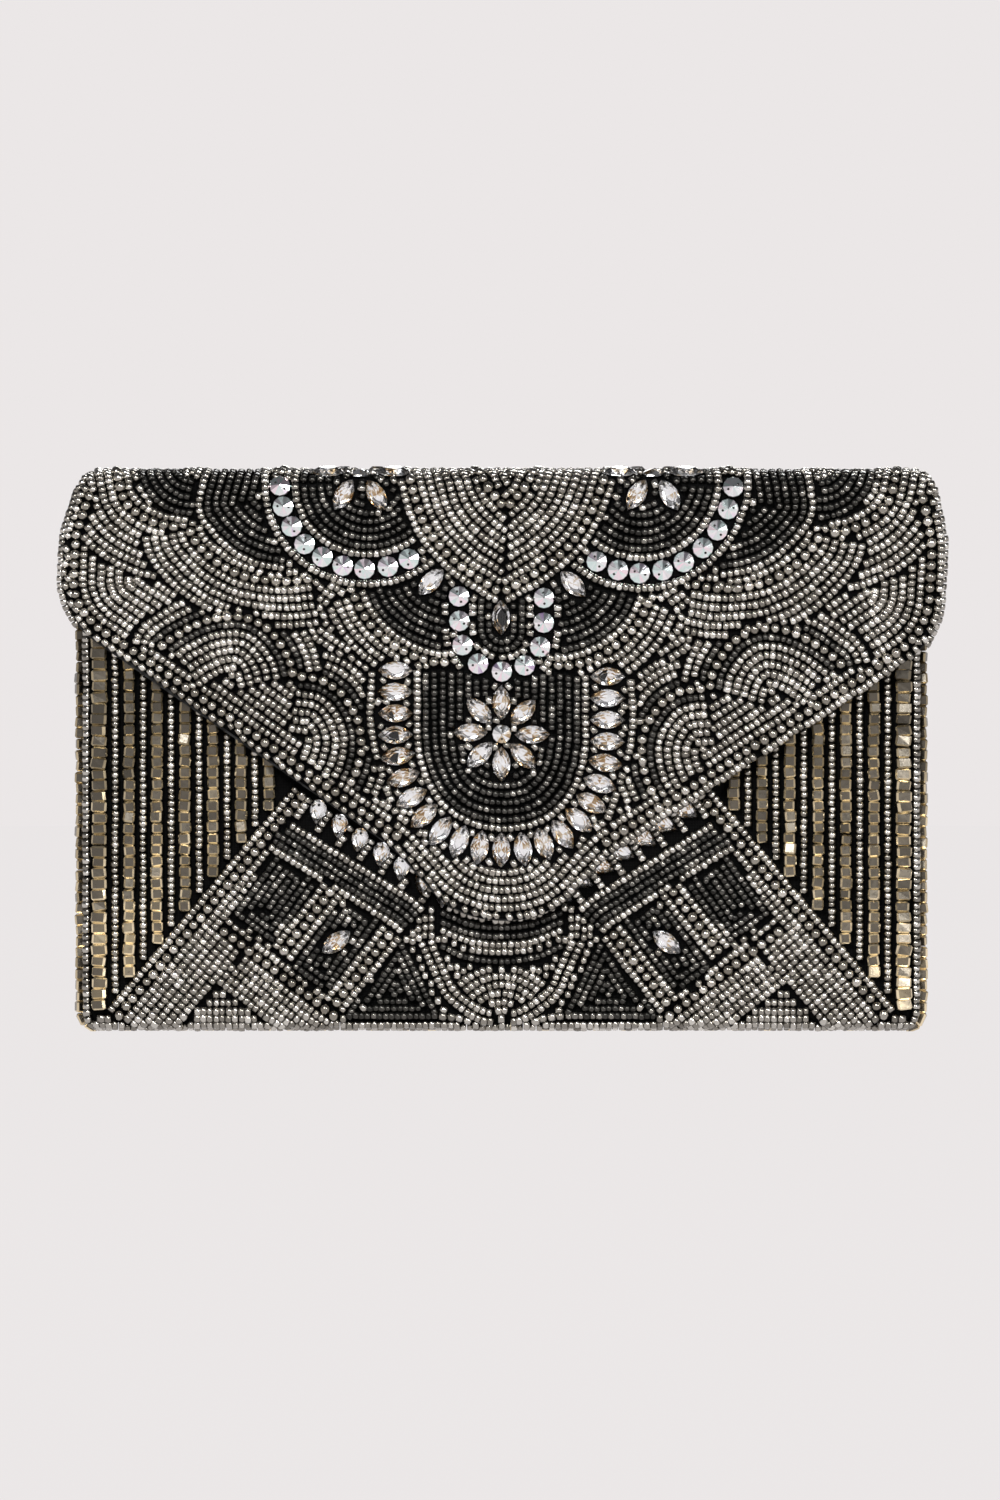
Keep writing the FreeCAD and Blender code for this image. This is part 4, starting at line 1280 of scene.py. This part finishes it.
def stitches(node_name, kind, body):
    """Two small knots of dark thread in each stone's sewing holes."""
    knot, *knot_faces = ball(0.75, 0.75)
    knot_faces = [outward(knot, f) for f in knot_faces]
    reach, lift = {"marquise": (3.4, 2.0), "pear": (2.0, 2.1)}.get(kind, (1.55, 1.75))
    points = []
    for foot, long, across, out in stones[node_name]:
        turn = rng.uniform(0, np.pi) if kind in ROUND_KINDS else 0.0
        axis = long * np.cos(turn) + across * np.sin(turn)
        for s in (1, -1):
            points.append(foot + axis * reach * s + out * lift + knot)
    blocks = repeated(knot_faces, len(points), len(knot))
    piece = mesh_piece(node_name + "_stitches", np.concatenate(points), blocks, FINISH["dark"],
                       tone=np.full(len(points) * len(knot), 0.15))
    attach(piece, body)


owner = {n: body for body, names in frame["record"]["behaviour"]["bodies"].items() for n in names}
for n, kind in STONE_NODES.items():
    build_stones(n, kind, owner[n])
for n, kind in STONE_NODES.items():
    stitches(n, kind, owner[n])
print("stones", sum(len(s) for s in stones.values()))

# %% [markdown]
# ## Cloth, lining and stiffener
# Between the columns of square beads the black ground cloth shows, and inside the purse there is a
# satin lining.  Each is a thin closed shell on the same two maps as the beads, so it bends with them.
# The weave follows the cloth's own flat coordinates, stored as its UV map.

# %% Cloth finishes


def woven(name, low_colour, high_colour, thread, roughness, bump, **extra):
    """A plain weave: two bands of waves at right angles on the cloth's own coordinates, plus fuzz."""
    material, tree, shader = principled(name, Roughness=roughness, **extra)
    place = add_node(tree, "UVMap")
    heights = []
    for axis in ("X", "Y"):
        wave = add_node(tree, "TexWave", wave_type="BANDS", bands_direction=axis, Scale=thread,
                        Distortion=0.6)
        tree.links.new(place.outputs[0], wave.inputs["Vector"])
        heights.append(wave.outputs["Fac"])
    fuzz = add_node(tree, "TexNoise", Scale=8.0, Detail=4)
    tree.links.new(place.outputs[0], fuzz.inputs["Vector"])
    both = sums(tree, "MULTIPLY_ADD", fuzz.outputs["Fac"], 0.5, sums(tree, "MULTIPLY", *heights))
    shade = colour_ramp(tree, both, [(0.2, low_colour), (1.0, high_colour)])
    tree.links.new(shade, shader.inputs["Base Color"])
    bumps = add_node(tree, "Bump", Strength=bump, Distance=0.00015)
    tree.links.new(both, bumps.inputs["Height"])
    tree.links.new(bumps.outputs[0], shader.inputs["Normal"])
    return material


ground_cloth = woven("black_ground_cloth", (0.001, 0.001, 0.001), (0.005, 0.005, 0.005), 7.0, 0.95, 0.7,
                     Specular_IOR_Level=0.03)
satin = woven("black_satin_lining", (0.010, 0.010, 0.011), (0.045, 0.045, 0.048), 16.0, 0.38, 0.35,
              Sheen_Weight=0.08, Sheen_Roughness=0.3, Specular_IOR_Level=0.3)
print("cloth finishes ready")

# %% Cloth shells


def shell(name, surface, a, b, outer, inner, material, blend_height=0.0):
    """Two faces of a sheet over flat-map grids a and b at two heights, closed round the rim."""
    rows, columns = a.shape
    points = np.concatenate([surface(a, b, np.full(a.shape, outer)).reshape(-1, 3),
                             surface(a, b, np.full(a.shape, inner)).reshape(-1, 3)])
    n = rows * columns
    i, j = np.meshgrid(np.arange(rows - 1), np.arange(columns - 1), indexing="ij")
    k = (i * columns + j).ravel()
    front = np.stack([k, k + 1, k + 1 + columns, k + columns], 1)
    border = np.concatenate([np.arange(columns - 1), np.arange(rows - 1) * columns + columns - 1,
                             (n - 1) - np.arange(columns - 1), (rows - 1 - np.arange(rows - 1)) * columns])
    after = np.roll(border, -1)
    rim = np.stack([after, border, border + n, after + n], 1)
    faces = np.concatenate([front, front[:, ::-1] + n, rim])
    piece = mesh_piece(name, points, faces, material)
    flat = np.tile(np.stack([a.ravel(), b.ravel()], 1), (2, 1)) / 10
    loops = np.zeros(len(piece.data.loops), int)
    piece.data.loops.foreach_get("vertex_index", loops)
    layer = piece.data.uv_layers.new(name="cloth")
    layer.data.foreach_set("uv", flat[loops].astype(np.float32).ravel())
    piece["height"] = blend_height
    centre = points[:n].reshape(rows, columns, 3)
    cell = np.cross(centre[1:, :-1] - centre[:-1, :-1], centre[:-1, 1:] - centre[:-1, :-1])
    return piece, np.linalg.norm(cell, axis=2).sum()


def sheet_on(name, surface, a, b, outer, inner, material, body, replaced, blend_height=0.0):
    """A shell that stands for CAD sheets: it goes with its body, and the sheets it replaces are hidden."""
    piece, area = shell(name, surface, a, b, outer, inner, material, blend_height)
    follow(piece, body)
    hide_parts(*replaced)


def flap_grid(t_top, inset):
    """Grid from the flap's tip up to a height on the map, kept inside the edge by an inset."""
    t = np.concatenate([np.linspace(outline[:, 1].min() + inset, crease_z, 70),
                        np.linspace(crease_z, t_top, 16)[1:]])
    half = np.where(t > crease_z, top_edge(t), np.interp(t, *half_at)) - inset
    u = np.linspace(-1, 1, 90)
    return half[:, None] * u[None], np.repeat(t[:, None], 90, 1)


def strip_grid(t0, t1, inset):
    """Grid over the top between two heights on the map, kept inside the ends by an inset."""
    t = np.linspace(t0, t1, 18)
    u = np.linspace(-1, 1, 60)
    return (top_edge(t) - inset)[:, None] * u[None], np.repeat(t[:, None], 60, 1)


def half_pouch(t_top):
    """Grid over the front or back half of the pouch, from the middle of its underside."""
    edge = side_flat + side_r * np.pi / 2 + side_depth / 2
    s = np.linspace(-edge, edge, 121)
    t = np.concatenate([np.linspace(bottom_z - 8.6, bottom_z, 12), np.linspace(bottom_z, t_top, 40)[1:]])
    return np.repeat(s[None], len(t), 0), np.repeat(t[:, None], len(s), 1)


def pouch_back(s, t, h):
    """The pouch map counted from the back's middle instead of the front's."""
    run = half_round - np.abs(s)
    q = pouch(run, t, h)
    return q * np.stack([np.where(s < 0, -1.0, 1.0), np.ones_like(s), np.ones_like(s)], -1)


a, b = half_pouch(mouth_z)
sheet_on("pouch_front_cloth", pouch, a, b, 0.0, -0.6, ground_cloth, "bag", ["front_cloth"])
sheet_on("pouch_front_lining", pouch, a, b, -1.5, -1.9, satin, "bag", ["front_lining"])
a, b = half_pouch(crease_z)
sheet_on("pouch_back_cloth", pouch_back, a, b, -0.02, -0.6, ground_cloth, "bag", ["back_cloth"])
sheet_on("pouch_back_lining", pouch_back, a, b, -1.5, -1.9, satin, "bag", ["back_lining"])
a, b = flap_grid(TOP, 0.6)
sheet_on("flap_ground_cloth", wrap, a, b, 0.0, -0.6, ground_cloth, "front_crease",
         ["flap_cloth", "front_crease_cloth"])
sheet_on("flap_satin_lining", wrap, a, b, -1.5, -1.9, satin, "front_crease",
         ["flap_lining", "front_crease_lining"],
         -1.9)
a, b = strip_grid(TOP, T3 + 2.0, 0.6)
sheet_on("rear_crease_ground_cloth", wrap, a, b, 0.0, -0.6, ground_cloth, "rear_crease",
         ["spine_cloth", "rear_crease_cloth"])
sheet_on("rear_crease_satin", wrap, a, b, -1.5, -1.9, satin, "rear_crease",
         ["spine_lining", "rear_crease_lining"],
         -1.9)

# %% [markdown]
# ## The snap and the stiffeners
# The snap, its magnet and the boards in the walls have the right shape as CAD, so they stay and only
# get a finish: brushed plated steel, a dull ring magnet, and black pressed fibre board.

# %% Finishes of the CAD nodes


def mottled(name, dark_colour, light_colour, scale, bump, detail=3.0, **values):
    """A finish between two close shades, with bumps where its noise is light."""
    material, tree, shader = principled(name, **values)
    noise = surface_noise(tree, shader, scale, bump, detail=detail)
    shade = colour_ramp(tree, noise, [(0.3, dark_colour), (0.7, light_colour)])
    tree.links.new(shade, shader.inputs["Base Color"])
    return material


plated = mottled("plated_snap_metal", (0.42, 0.41, 0.39), (0.62, 0.60, 0.57), 1400, 0.25, 5,
                 Metallic=1.0, Roughness=0.28)
ferrite = mottled("ring_magnet", (0.04, 0.04, 0.045), (0.09, 0.09, 0.10), 800, 0.4,
                  Metallic=0.3, Roughness=0.6)
board = mottled("pressed_fibre_board", (0.006, 0.006, 0.006), (0.018, 0.018, 0.018), 600, 0.5, 6,
                Roughness=0.9)
for name, piece in frame["nodes"].items():
    if piece.hide_render:
        continue
    finish = board if "stiffener" in name else ferrite if "magnet" in name else plated
    piece.data.materials.clear()
    piece.data.materials.append(finish)
    print("finish", finish.name, "on", name)

# %% [markdown]
# The cloth over the spine is drawn in at its middle, which the CAD's straight board there is not.  So
# that one board is made again as a shell between the same two cloth faces, a little inside their rim.

# %% The board in the spine
a, b = strip_grid(T1 + 0.4, T2 - 0.4, 1.4)
spine_board, board_area = shell("spine_board", wrap, a, b, -0.62, -1.48, board)
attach(spine_board, "spine")
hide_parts("spine_stiffener")
print("spine board %.0f mm2" % board_area)

# %% Print the CAD box and finish
print("cad box", [tuple(round(v, 4) for v in c) for c in cad_box])
